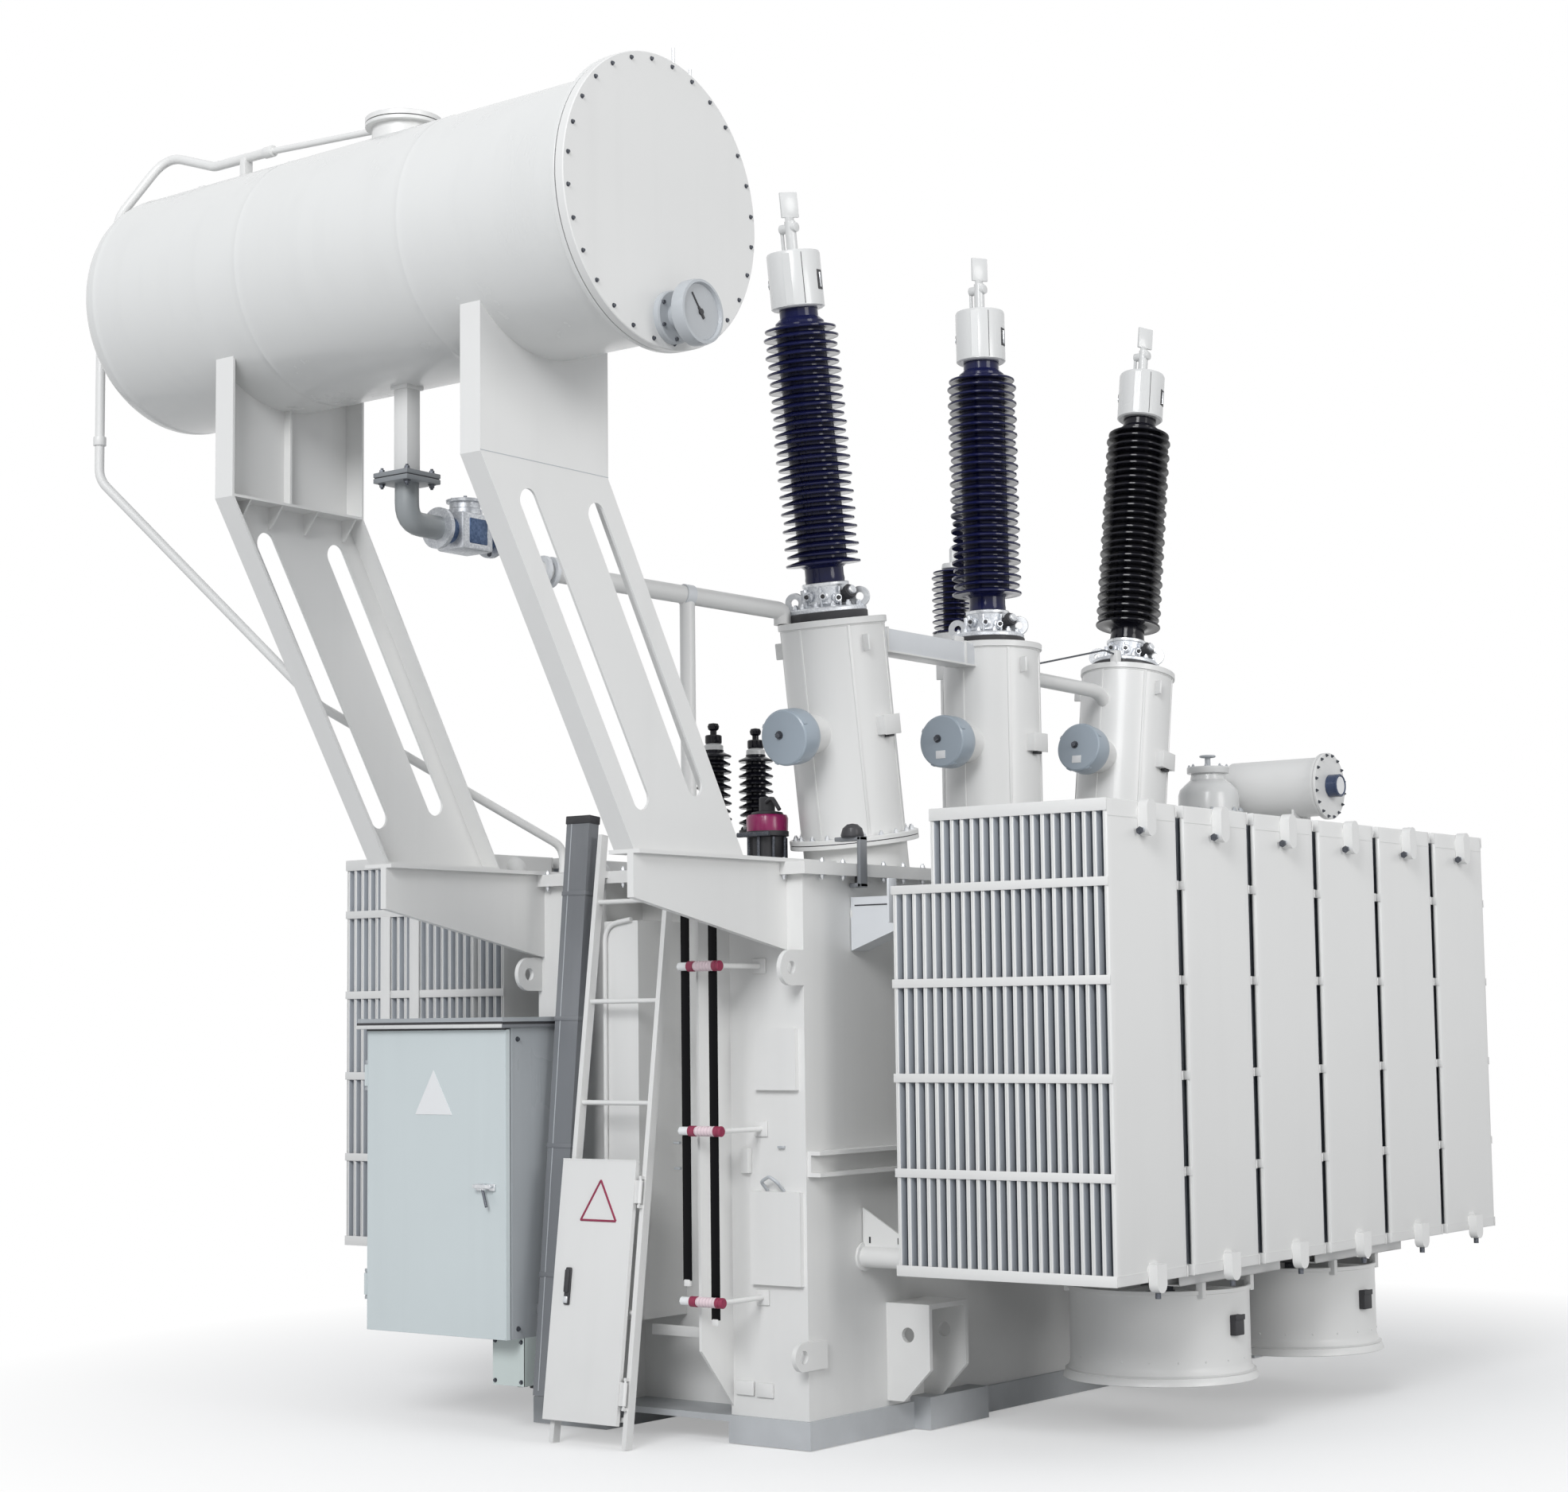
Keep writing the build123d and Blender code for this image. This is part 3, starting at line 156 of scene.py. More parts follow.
# %% Node groups for metal and glaze
def make_crystal_metal():
    group, start, end = new_group(
        "crystal_metal",
        [("Light", "NodeSocketColor", (0.7, 0.7, 0.7, 1)), ("Dark", "NodeSocketColor", (0.5, 0.5, 0.5, 1)),
         ("Scale", "NodeSocketFloat", 60.0), ("Polish", "NodeSocketFloat", 0.3)],
        [("Colour", "NodeSocketColor"), ("Roughness", "NodeSocketFloat"), ("Height", "NodeSocketFloat")])
    where = add_node(group, "ShaderNodeTexCoord").outputs["Object"]
    cells = add_node(group, "ShaderNodeTexVoronoi")
    group.links.new(where, cells.inputs["Vector"])
    group.links.new(start.outputs["Scale"], cells.inputs["Scale"])
    shade = add_node(group, "ShaderNodeSeparateColor")
    group.links.new(cells.outputs["Color"], shade.inputs[0])
    tone = maths(group, "ADD", maths(group, "MULTIPLY", shade.outputs[0], 0.6),
                 maths(group, "MULTIPLY", noise(group, where, 14, 4), 0.5))
    group.links.new(blend_colour(group, tone, start.outputs["Light"], start.outputs["Dark"]),
                    end.inputs["Colour"])
    group.links.new(maths(group, "ADD", start.outputs["Polish"], maths(group, "MULTIPLY", tone, 0.2)),
                    end.inputs["Roughness"])
    group.links.new(noise(group, where, 180, 4), end.inputs["Height"])
    return group


def make_dusty_glaze():
    group, start, end = new_group("dusty_glaze", [("Glaze", "NodeSocketColor", (0.02, 0.02, 0.05, 1)),
                                                  ("Dust", "NodeSocketColor", (0.3, 0.3, 0.32, 1)),
                                                  ("Film", "NodeSocketFloat", 0.08)],
                                  [("Colour", "NodeSocketColor"), ("Roughness", "NodeSocketFloat"),
                                   ("Height", "NodeSocketFloat")])
    where = add_node(group, "ShaderNodeTexCoord").outputs["Object"]
    patches = remap(group, noise(group, where, 7, 5), 0.35, 0.7, 0, 1)
    facing = add_node(group, "ShaderNodeSeparateXYZ")
    group.links.new(add_node(group, "ShaderNodeNewGeometry").outputs["Normal"], facing.inputs[0])
    ledge = remap(group, facing.outputs["Z"], 0.2, 0.9, 0.2, 1)
    film = maths(group, "MULTIPLY", maths(group, "MULTIPLY", patches, ledge), start.outputs["Film"])
    group.links.new(blend_colour(group, film, start.outputs["Glaze"], start.outputs["Dust"]),
                    end.inputs["Colour"])
    group.links.new(maths(group, "ADD", maths(group, "MULTIPLY", film, 1.2), 0.14), end.inputs["Roughness"])
    group.links.new(noise(group, where, 40, 2), end.inputs["Height"])
    return group


crystal_metal = make_crystal_metal()
dusty_glaze = make_dusty_glaze()
print("node groups:", crystal_metal.name, dusty_glaze.name)

# %% [markdown]
# A finish is one material: a group feeds the colour, roughness and bump of a Principled shader, and the
# numbers that are the same all over are set on the shader itself. Most names are those of the real machine's
# finishes, from the warm white of the tank to the navy glaze of the sheds. A few colours are painted shade:
# the two radiator flank paints, the darker grey of the cabinet body, and in part the dark grey of the cable
# duct.

# %% Finishes
def make_finish(name, group, values, depth=0.0004, **fixed):
    finish = bpy.data.materials.new(name)
    finish.use_nodes = True
    tree = finish.node_tree
    shader = tree.nodes["Principled BSDF"]
    effect = tree.nodes.new("ShaderNodeGroup")
    effect.node_tree = group
    for label, value in values.items():
        effect.inputs[label].default_value = value
    tree.links.new(effect.outputs["Colour"], shader.inputs["Base Color"])
    tree.links.new(effect.outputs["Roughness"], shader.inputs["Roughness"])
    bump = add_node(tree, "ShaderNodeBump", Strength=0.25, Distance=depth)
    tree.links.new(effect.outputs["Height"], bump.inputs["Height"])
    tree.links.new(bump.outputs["Normal"], shader.inputs["Normal"])
    for label, value in fixed.items():
        shader.inputs[label.replace("_", " ")].default_value = value
    return finish


def paint(name, colour, mottle=0.05, streaks=0.05, dust=0.25, sheen=0.36):
    grime = tuple(c * 0.55 for c in colour)
    return make_finish(name, weathered_paint, {
        "Paint": (*colour, 1), "Grime": (*grime, 1), "Mottle": mottle, "Streaks": streaks,
        "Dust": dust, "Sheen": sheen}, Coat_Weight=0.12)


def metal(name, light, dark, scale, polish):
    return make_finish(name, crystal_metal, {
        "Light": (*light, 1), "Dark": (*dark, 1), "Scale": scale, "Polish": polish}, Metallic=0.85)


def glaze(name, colour, film, gloss=0.25):
    dust = tuple(0.6 * c + 0.06 for c in colour)
    return make_finish(name, dusty_glaze, {"Glaze": (*colour, 1), "Dust": (*dust, 1), "Film": film},
                       Coat_Weight=gloss * 0.4, Specular_IOR_Level=gloss)


warm_white = paint("warm_white", (0.755, 0.755, 0.745))
cool_white = paint("cool_white", (0.70, 0.72, 0.745), mottle=0.09)
radiator_white = paint("radiator_white", (0.75, 0.75, 0.74), mottle=0.04, streaks=0.03)
# Painted shade between radiator panels: a dark grey deep in, a lighter grey near the panel edges.
radiator_deep_painted_shade = paint("radiator_deep_painted_shade", (0.16, 0.18, 0.21), mottle=0.08, sheen=0.45)
flank_edge_painted_shade = paint("flank_edge_painted_shade", (0.56, 0.59, 0.63), mottle=0.08, sheen=0.4)
cover_blue = paint("cover_blue", (0.36, 0.42, 0.48), mottle=0.16, sheen=0.28)
door_grey = paint("door_grey", (0.615, 0.675, 0.685), mottle=0.06, sheen=0.28)
base_grey = paint("base_grey", (0.56, 0.58, 0.60), mottle=0.2, dust=0.5)
# A dark grey: the real colour of the lid clamp bracket, and on the cable duct and cabinet roof sides partly
# painted shade.
dark_grey_and_shade = paint("dark_grey_and_shade", (0.20, 0.21, 0.225), mottle=0.3, streaks=0.15)
flange_grey = paint("flange_grey", (0.23, 0.245, 0.26), mottle=0.2)
elbow_grey = paint("elbow_grey", (0.30, 0.32, 0.33), mottle=0.2, sheen=0.28)
pipe_grey = paint("pipe_grey", (0.48, 0.505, 0.53), mottle=0.15, sheen=0.25)
pale_green = paint("pale_green", (0.62, 0.69, 0.67), mottle=0.1)
device_red = paint("device_red", (0.30, 0.006, 0.105), mottle=0.2, sheen=0.22)
sign_red = paint("sign_red", (0.26, 0.015, 0.06), mottle=0.1)
soft_black = paint("soft_black", (0.03, 0.03, 0.034), mottle=0.2, sheen=0.55)
cap_white = paint("cap_white", (0.70, 0.705, 0.70), mottle=0.06, dust=0.1, sheen=0.24)
gloss_white = paint("gloss_white", (0.73, 0.735, 0.725), mottle=0.07, dust=0.1, sheen=0.22)
cabinet_painted_shade_grey = paint("cabinet_painted_shade_grey", (0.40, 0.425, 0.445), mottle=0.12, streaks=0.1, sheen=0.25)
dial_grey = paint("dial_grey", (0.47, 0.49, 0.51), mottle=0.2, sheen=0.22)
bright_zinc = metal("bright_zinc", (0.78, 0.79, 0.80), (0.55, 0.57, 0.60), 70.0, 0.26)
cast_silver = metal("cast_silver", (0.72, 0.74, 0.76), (0.46, 0.48, 0.52), 160.0, 0.34)
dark_bolt = metal("dark_bolt", (0.16, 0.17, 0.19), (0.06, 0.065, 0.08), 220.0, 0.4)
relay_blue = metal("relay_blue", (0.12, 0.17, 0.28), (0.05, 0.08, 0.15), 120.0, 0.3)
bar_black = glaze("bar_black", (0.004, 0.004, 0.005), 0.03, 0.06)
navy_glaze = glaze("navy_glaze", (0.009, 0.011, 0.055), 0.06, 0.22)
black_glaze = glaze("black_glaze", (0.008, 0.008, 0.013), 0.08, 0.22)
resin_pink = glaze("resin_pink", (0.74, 0.60, 0.64), 0.2, 0.5)
dial_white = glaze("dial_white", (0.80, 0.81, 0.82), 0.15, 0.5)
dial_blue = glaze("dial_blue", (0.03, 0.05, 0.11), 0.1, 0.5)
print("finishes:", len(bpy.data.materials))

# %% [markdown]
# Every new piece starts as a bmesh, an editable mesh in memory. The machine is mostly plate and bar, so
# the first helpers add a slab of plate and a round bar. They could be drawn corner by corner, but the
# ready cube and cone operators give closed shapes with less to go wrong. Each helper stamps its faces
# with a finish number, so that one piece can have several finishes.

# %% Plates and bars
def mark(verts, look):
    for vert in verts:
        for face in vert.link_faces:
            face.material_index = look


def slab(mesh, low, high, look=0, edge=0.0, place=None):
    size = [abs(b - a) for a, b in zip(low, high)]
    middle = [(a + b) / 2 for a, b in zip(low, high)]
    verts = bmesh.ops.create_cube(mesh, size=1.0)["verts"]
    bmesh.ops.scale(mesh, vec=size, verts=verts)
    bmesh.ops.translate(mesh, vec=middle, verts=verts)
    if place is not None:
        bmesh.ops.transform(mesh, matrix=place, verts=verts)
    mark(verts, look)
    if edge:
        edges = list({e for v in verts for e in v.link_edges})
        bmesh.ops.bevel(mesh, geom=edges, offset=edge, affect="EDGES", segments=2, profile=0.5, material=-1)
    return verts


def rounded_tab(mesh, low, high, radius, look=0, below=1e9):
    """A plate whose corners, seen along x, are rounded: all of them, or only those below a height."""
    verts = slab(mesh, low, high, look)
    edges = [e for e in {e for v in verts for e in v.link_edges}
             if abs(e.verts[0].co.x - e.verts[1].co.x) > 1e-4 and e.verts[0].co.z < below]
    bmesh.ops.bevel(mesh, geom=edges, offset=radius, affect="EDGES", segments=6, profile=0.5, material=-1)


def bar(mesh, start, end, radius, look=0, sides=20, end_radius=None, edge=0.0):
    start, end = Vector(start), Vector(end)
    along = end - start
    place = Matrix.Translation((start + end) / 2) @ along.to_track_quat("Z", "Y").to_matrix().to_4x4()
    far = radius if end_radius is None else end_radius
    verts = bmesh.ops.create_cone(mesh, cap_ends=True, cap_tris=False, segments=sides, radius1=radius,
                                  radius2=far, depth=along.length, matrix=place)["verts"]
    mark(verts, look)
    if edge:
        rims = list({e for v in verts for e in v.link_edges if any(len(f.verts) > 4 for f in e.link_faces)})
        bmesh.ops.bevel(mesh, geom=rims, offset=edge, affect="EDGES", segments=2, profile=0.5, material=-1)


print("plates and bars: slab, rounded_tab, bar")

# %% [markdown]
# Drums, flanges and bushings are round about an axis, as if made on a lathe. Such a part is drawn as
# half of its outline, a list of radius and height pairs, and spun once round. Stacked cylinders would
# show seams where they meet, while one spun outline keeps every step, chamfer and lip in one skin. The
# points on the axis fall together and are merged, so that the poles close.

# %% Turned parts
def turned(mesh, profile, place, look=0, steps=48):
    verts = [mesh.verts.new(place @ Vector((radius, 0, height))) for radius, height in profile]
    edges = [mesh.edges.new(pair) for pair in zip(verts, verts[1:])]
    axis = (place.to_3x3() @ Vector((0, 0, 1))).normalized()
    bmesh.ops.spin(mesh, geom=verts + edges, cent=place.translation, axis=axis, angle=2 * pi,
                   steps=steps, use_merge=True, use_duplicate=False)
    reach, todo = set(verts), list(verts)
    while todo:
        for edge in todo.pop().link_edges:
            for vert in edge.verts:
                if vert not in reach:
                    reach.add(vert)
                    todo.append(vert)
    mark(reach, look)
    bmesh.ops.remove_doubles(mesh, verts=list(reach), dist=0.00002)


print("turned parts: turned")

# %% [markdown]
# Pipes bend in smooth elbows. A curve object with a round bevel would do it too, but it would have to
# be turned into a mesh later. Here a ring of points is extruded along the route, turned a little at each
# step. Every corner of the route is first replaced by a short arc.

# %% Bent tubes
def rounded_route(points, bend, steps=6):
    points = [Vector(p) for p in points]
    route = [points[0]]
    for before, corner, after in zip(points, points[1:], points[2:]):
        back, on = (before - corner).normalized(), (after - corner).normalized()
        half = acos(max(-1.0, min(1.0, back.dot(on)))) / 2
        reach = min(bend / tan(half), 0.49 * (before - corner).length, 0.49 * (after - corner).length)
        first, last = corner + back * reach, corner + on * reach
        for step in range(steps + 1):
            t = step / steps
            route.append(first * (1 - t) ** 2 + corner * 2 * t * (1 - t) + last * t ** 2)
    return route + [points[-1]]


def tube(mesh, points, radius, look=0, sides=16, bend=0.0):
    route = rounded_route(points, bend) if bend else [Vector(p) for p in points]
    facing = (route[1] - route[0]).normalized()
    place = Matrix.Translation(route[0]) @ facing.to_track_quat("Z", "Y").to_matrix().to_4x4()
    ring = bmesh.ops.create_circle(mesh, cap_ends=True, segments=sides, radius=radius, matrix=place)["verts"]
    everything = list(ring)
    edges = list({e for v in ring for e in v.link_edges})
    for index in range(1, len(route)):
        new = bmesh.ops.extrude_edge_only(mesh, edges=edges)["geom"]
        ring = [g for g in new if isinstance(g, bmesh.types.BMVert)]
        chosen = set(ring)
        edges = [g for g in new if isinstance(g, bmesh.types.BMEdge) and set(g.verts) <= chosen]
        bmesh.ops.translate(mesh, vec=route[index] - route[index - 1], verts=ring)
        ahead = route[min(index + 1, len(route) - 1)] - route[index - 1]
        turn = facing.rotation_difference(ahead.normalized()).to_matrix()
        bmesh.ops.rotate(mesh, cent=route[index], matrix=turn, verts=ring)
        facing = ahead.normalized()
        everything += ring
    bmesh.ops.contextual_create(mesh, geom=edges)
    mark(everything, look)


print("bent tubes: rounded_route, tube")

# %% [markdown]
# Fittings sit on walls that face many ways. A place is a 4 by 4 matrix: it moves a fitting that is drawn
# round the origin to its spot, with its own z axis pointing out of the wall. Turning each fitting by
# hand-set angles would be harder to read and to keep right.

# %% Places and turns
def turn_by(degrees, axis="Z"):
    return Matrix.Rotation(radians(degrees), 4, axis)


def on_face(origin, normal, up=(0, 0, 1)):
    z = Vector(normal).normalized()
    x = Vector(up).cross(z)
    x = Vector((1, 0, 0)) if x.length < 0.01 else x.normalized()
    y = z.cross(x)
    turn = Matrix((x, y, z)).transposed().to_4x4()
    return Matrix.Translation(origin) @ turn


def leaning_place(foot, lean):
    """A place with z along a slope that leans towards +Y, x level and y into the wall."""
    z = Vector(lean).normalized()
    x = Vector((1, 0, 0))
    return Matrix.Translation(foot) @ Matrix((x, z.cross(x), z)).transposed().to_4x4()


print("places: turn_by, on_face, leaning_place")

# %% [markdown]
# Several hundred bolts hold this machine together, and they catch the light along every flange. Each is
# real geometry: a washer, a six-sided head and the end of its stud, with only a few dozen faces, so that
# the many copies stay light. They are set out in rings and rows, as a fitter marks out holes.

# %% Bolts
def bolt(mesh, place, size, look=0, stud=True):
    """A hexagon head on a washer: size is the width over the flats."""
    axis = place.to_3x3() @ Vector((0, 0, 1))
    foot = place.translation
    bar(mesh, foot - axis * size * 0.1, foot + axis * size * 0.14, size * 0.78, look, 12)
    bar(mesh, foot + axis * size * 0.14, foot + axis * size * 0.70, size * 0.56, look, 6, size * 0.52)
    if stud:
        bar(mesh, foot + axis * size * 0.70, foot + axis * size * 1.05, size * 0.3, look, 8)


def bolt_ring(mesh, place, radius, count, size, look=0, stud=True):
    for number in range(count):
        angle = 2 * pi * (number + 0.5) / count
        spot = place @ Matrix.Translation((radius * cos(angle), radius * sin(angle), 0))
        bolt(mesh, spot, size, look, stud)


def bolt_row(mesh, start, end, normal, count, size, look=0):
    start, end = Vector(start), Vector(end)
    for number in range(count):
        spot = start.lerp(end, (number + 0.5) / count)
        bolt(mesh, on_face(spot, normal), size, look)


print("bolts: bolt, bolt_ring, bolt_row")

# %% [markdown]
# When a piece is ready, its normals are turned outwards, and edges sharper than 32 degrees stay crisp while
# the rest are shaded smooth. The piece then rides on the body that it moves with, takes its list of finishes,
# and hides the plain solids that it stands for.

# %% Finished pieces
def finish_piece(name, mesh, finishes, body="transformer", swaps=(), sharp=32):
    bmesh.ops.recalc_face_normals(mesh, faces=mesh.faces)
    for face in mesh.faces:
        face.smooth = True
    for edge in mesh.edges:
        edge.smooth = len(edge.link_faces) == 2 and edge.calc_face_angle(0) < radians(sharp)
    data = bpy.data.meshes.new(name)
    mesh.to_mesh(data)
    mesh.free()
    for finish in finishes:
        data.materials.append(finish)
    piece = bpy.data.objects.new(name, data)
    bpy.context.scene.collection.objects.link(piece)
    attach(piece, body)
    if swaps:
        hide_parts(*swaps)
    print(f"{name}: {len(data.polygons)} faces")
    return piece


def finish_node(names, finish):
    for name in names:
        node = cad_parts[name]
        node.data.materials.clear()
        node.data.materials.append(finish)


print("finished pieces: finish_piece, finish_node")

# %% [markdown]
# The plain fabricated parts, such as the tank, its base, the brackets and the cabinet, have the right shape
# already. They keep their solids and only take a finish: the base gets a paint with more grime, and the
# cabinet body and the cable duct get darker, streakier greys whose extra darkness is painted shade.

# %% Finishes on the solids that stay
finish_node(["tank_walls", "tank_lid", "end_box", "arm_bracket_right", "arm_bracket_left"], warm_white)
finish_node(["conservator_arm_right", "conservator_arm_left", "ladder_guard"], warm_white)
finish_node(["jack_box_right", "jack_box_left"], warm_white)
finish_node(["tank_base"], base_grey)
# The cabinet body is greyer than its door: the extra darkness paints the shade and dark reflection on the
# cabinet's side.
finish_node(["control_cabinet"], cabinet_painted_shade_grey)
finish_node(["cabinet_door"], door_grey)
finish_node(["cable_box"], pale_green)
# The duct's dark grey is partly its own colour and partly painted shade from the ladder and cabinet around
# it.
finish_node(["cable_duct"], dark_grey_and_shade)
finish_node(["ladder"], warm_white)
print("solids kept:", len(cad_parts))

# %% [markdown]
# The oil conservator is a rolled drum with one dished end and one flat, bolted end. It is turned, so its
# skin, weld beads and flange come from one spun profile about the drum's own axis. Twenty-eight bolts
# hold the cover, with a dark gasket in the joint, and two guide pins stand on top of the flange.

# %% Conservator drum
DRUM_Y, DRUM_Z, DRUM_R = -3.710, 4.555, 0.481
DRUM_LEFT, DRUM_RIGHT, FLANGE_R = -1.355, 1.183, 0.531
drum_axis = on_face((0, DRUM_Y, DRUM_Z), (1, 0, 0))


def dished_end(radius, left, depth, knuckle):
    side = radius - knuckle
    crown = (side ** 2 - knuckle ** 2 + depth ** 2) / (2 * (depth - knuckle))
    centre = left - depth + crown
    turn = asin(side / (crown - knuckle)) if side < crown - knuckle else pi / 2
    points = [(crown * sin(turn * n / 14), centre - crown * cos(turn * n / 14)) for n in range(15)]
    for n in range(1, 9):
        angle = turn + (pi / 2 - turn) * n / 8
        points.append((side + knuckle * sin(angle), left - knuckle * cos(angle)))
    return [(max(0.0, r), x) for r, x in points]


drum = bmesh.new()
profile = dished_end(DRUM_R, DRUM_LEFT, 0.170, 0.090)
profile += [(DRUM_R + 0.0015, DRUM_LEFT + 0.006), (DRUM_R + 0.0015, DRUM_LEFT + 0.012),
            (DRUM_R, DRUM_LEFT + 0.016), (DRUM_R, DRUM_LEFT + 0.040)]
for seam in (-0.52, 0.34):
    profile += [(DRUM_R, seam + step) for step in (-0.030, -0.005)] + [(DRUM_R + 0.0014, seam)]
    profile += [(DRUM_R, seam + step) for step in (0.005, 0.030)]
profile += [(DRUM_R, 1.090), (DRUM_R, 1.118), (DRUM_R + 0.008, 1.1225), (FLANGE_R - 0.003, 1.123),
            (FLANGE_R, 1.126), (FLANGE_R, 1.140), (FLANGE_R - 0.002, 1.1425), (0, 1.1425)]
turned(drum, profile, drum_axis, 0, 128)
turned(drum, [(0, 1.141), (FLANGE_R - 0.006, 1.141), (FLANGE_R - 0.006, 1.1465), (0, 1.1465)], drum_axis, 1,
       96)
finish_piece("drum_shell", drum, [gloss_white, soft_black], swaps=["conservator_shell"])

cover = bmesh.new()
turned(cover, [(0, 1.146), (FLANGE_R - 0.003, 1.146), (FLANGE_R, 1.149), (FLANGE_R, 1.180),
               (FLANGE_R - 0.003, DRUM_RIGHT), (0, DRUM_RIGHT)], drum_axis, 0, 128)
cover_face = drum_axis @ Matrix.Translation((0, 0, DRUM_RIGHT))
bolt_ring(cover, cover_face, 0.508, 28, 0.011, 1, stud=False)
for y, height in ((0.105, 0.085), (0.200, 0.060)):
    foot = DRUM_Z + sqrt(FLANGE_R ** 2 - y ** 2) - 0.01
    bar(cover, (1.150, DRUM_Y + y, foot), (1.150, DRUM_Y + y, foot + height), 0.006, 2, 12)
    bar(cover, (1.150, DRUM_Y + y, foot), (1.150, DRUM_Y + y, foot + 0.02), 0.011, 2, 6)
finish_piece("drum_cover", cover, [warm_white, dark_bolt, bright_zinc],
             swaps=["conservator_cover"])

# %% [markdown]
# On the drum sit a round inspection hatch, a dial that shows the oil level, a lifting lug and the stand of
# the breather pipe. The dial is a turned case with a recessed grey face, a black needle, and a round flange
# behind it.

# %% Hatch, dial and small drum fittings
HATCH_X, HATCH_R, HATCH_RIM = -0.103, 0.122, 0.148
hatch = bmesh.new()
hatch_place = Matrix.Translation((HATCH_X, DRUM_Y, 0))
turned(hatch, [(0, 4.98), (HATCH_R, 4.98), (HATCH_R, 5.083), (HATCH_RIM - 0.002, 5.083), (HATCH_RIM, 5.085),
               (HATCH_RIM, 5.096), (HATCH_RIM - 0.003, 5.098), (0, 5.098)], hatch_place, 0, 64)
turned(hatch, [(0, 5.097), (HATCH_RIM - 0.005, 5.097), (HATCH_RIM - 0.005, 5.102), (0, 5.102)], hatch_place,
       1, 64)
turned(hatch, [(0, 5.101), (HATCH_RIM, 5.101), (HATCH_RIM, 5.118), (HATCH_RIM - 0.002, 5.120), (0, 5.120)],
       hatch_place, 0, 64)
bolt_ring(hatch, hatch_place @ Matrix.Translation((0, 0, 5.109)), 0.134, 12, 0.013, 2, stud=False)
finish_piece("hatch", hatch, [warm_white, soft_black, bright_zinc],
             swaps=["conservator_hatch"])

DIAL_Y, DIAL_Z = DRUM_Y + 0.036, 4.140
dial = bmesh.new()
dial_place = on_face((DRUM_RIGHT, DIAL_Y, DIAL_Z), (1, 0, 0))
turned(dial, [(0, 0), (0.095, 0), (0.095, 0.022), (0.090, 0.026), (0.045, 0.026), (0.045, 0.085),
              (0.108, 0.092), (0.117, 0.100), (0.118, 0.128), (0.114, 0.149), (0.104, 0.150), (0.100, 0.136),
              (0, 0.136)], dial_place, 0, 72)
turned(dial, [(0, 0.1362), (0.099, 0.1362), (0.099, 0.1372), (0, 0.1372)], dial_place, 1, 64)
bolt_ring(dial, dial_place @ Matrix.Translation((0, 0, 0.024)), 0.080, 6, 0.014, 2, stud=False)
needle = dial_place @ turn_by(38)
slab(dial, (-0.006, -0.028, 0.138), (0.006, 0.020, 0.141), 3, 0.001, needle)
slab(dial, (-0.003, 0.018, 0.138), (0.003, 0.078, 0.141), 3, 0.001, needle)
bar(dial, dial_place @ Vector((0, 0, 0.137)), dial_place @ Vector((0, 0, 0.144)), 0.011, 3, 20)
finish_piece("oil_dial", dial, [pipe_grey, dial_grey, dark_bolt, soft_black],
             swaps=["oil_gauge"])

# %% [markdown]
# The drum breathes through a pipe, as its oil swells and shrinks. The thin upper pipe runs from the
# hatch along the top of the drum. The thicker lower one starts there, comes down past the dished end and
# slopes back to the lid. Its corners are given as shares of the drum's own size, so that it follows the
# drum, and the tube helper rounds them.

# %% Breather pipe
def drum_point(along, across, up):
    return (DRUM_LEFT + along * (DRUM_RIGHT - DRUM_LEFT), DRUM_Y + across * DRUM_R, DRUM_Z + up * DRUM_R)


breather = bmesh.new()
join = drum_point(0.198, 0, 1.233)
tube(breather, [(HATCH_X - 0.11, DRUM_Y, 5.108), join], 0.013, 0, 16)
bar(breather, Vector(join) + Vector((0.02, 0, 0)), Vector(join) - Vector((0.03, 0, 0)), 0.023, 0, 20,
    edge=0.002)
for x, height, reach in ((-0.995, 0.112, 0.055), (-1.245, 0.045, 0.024)):
    slab(breather, (x - reach, DRUM_Y - 0.03, DRUM_Z + DRUM_R - 0.01),
         (x + reach, DRUM_Y + 0.03, DRUM_Z + DRUM_R + 0.010), 0, 0.003)
    slab(breather, (x - 0.016, DRUM_Y - 0.022, DRUM_Z + DRUM_R),
         (x + 0.016, DRUM_Y + 0.022, DRUM_Z + DRUM_R + height), 0, 0.004)
finish_piece("breather_upper", breather, [warm_white], swaps=["breather_pipe"])

downcomer = bmesh.new()
route = [join, drum_point(0.067, 0, 1.241), drum_point(-0.049, 0, 1.455),
         drum_point(-0.095, -0.291, 0.925), drum_point(-0.083, -0.541, 0.301),
         drum_point(-0.083, -0.541, -1.424), drum_point(0.181, 0.645, -3.337)]
foot_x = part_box("breather_downcomer")[1][0] - 0.019
route += [(foot_x, -2.060, 2.425), (foot_x, -2.060, 2.306)]
tube(downcomer, route, 0.019, 0, 20, 0.11)
clip = drum_point(-0.083, -0.541, 0.02)
slab(downcomer, (clip[0] - 0.024, clip[1] - 0.024, clip[2] - 0.024),
     (DRUM_LEFT - 0.1, clip[1] + 0.024, clip[2] + 0.024), 0, 0.003)
for level in (0.02, -1.1):
    spot = Vector(drum_point(-0.083, -0.541, level))
    bar(downcomer, spot - Vector((0, 0, 0.018)), spot + Vector((0, 0, 0.018)), 0.026, 0, 24, edge=0.002)
finish_piece("breather_lower", downcomer, [warm_white], swaps=["breather_downcomer"])

# %% [markdown]
# Oil leaves the drum through a square pipe with a bolted flange, turns in a grey elbow and passes the
# gas relay, a cast housing with glass windows that warns when gas gathers in it. The housing could be
# one box, but its two flanges, cap and side plates make it read as a casting.

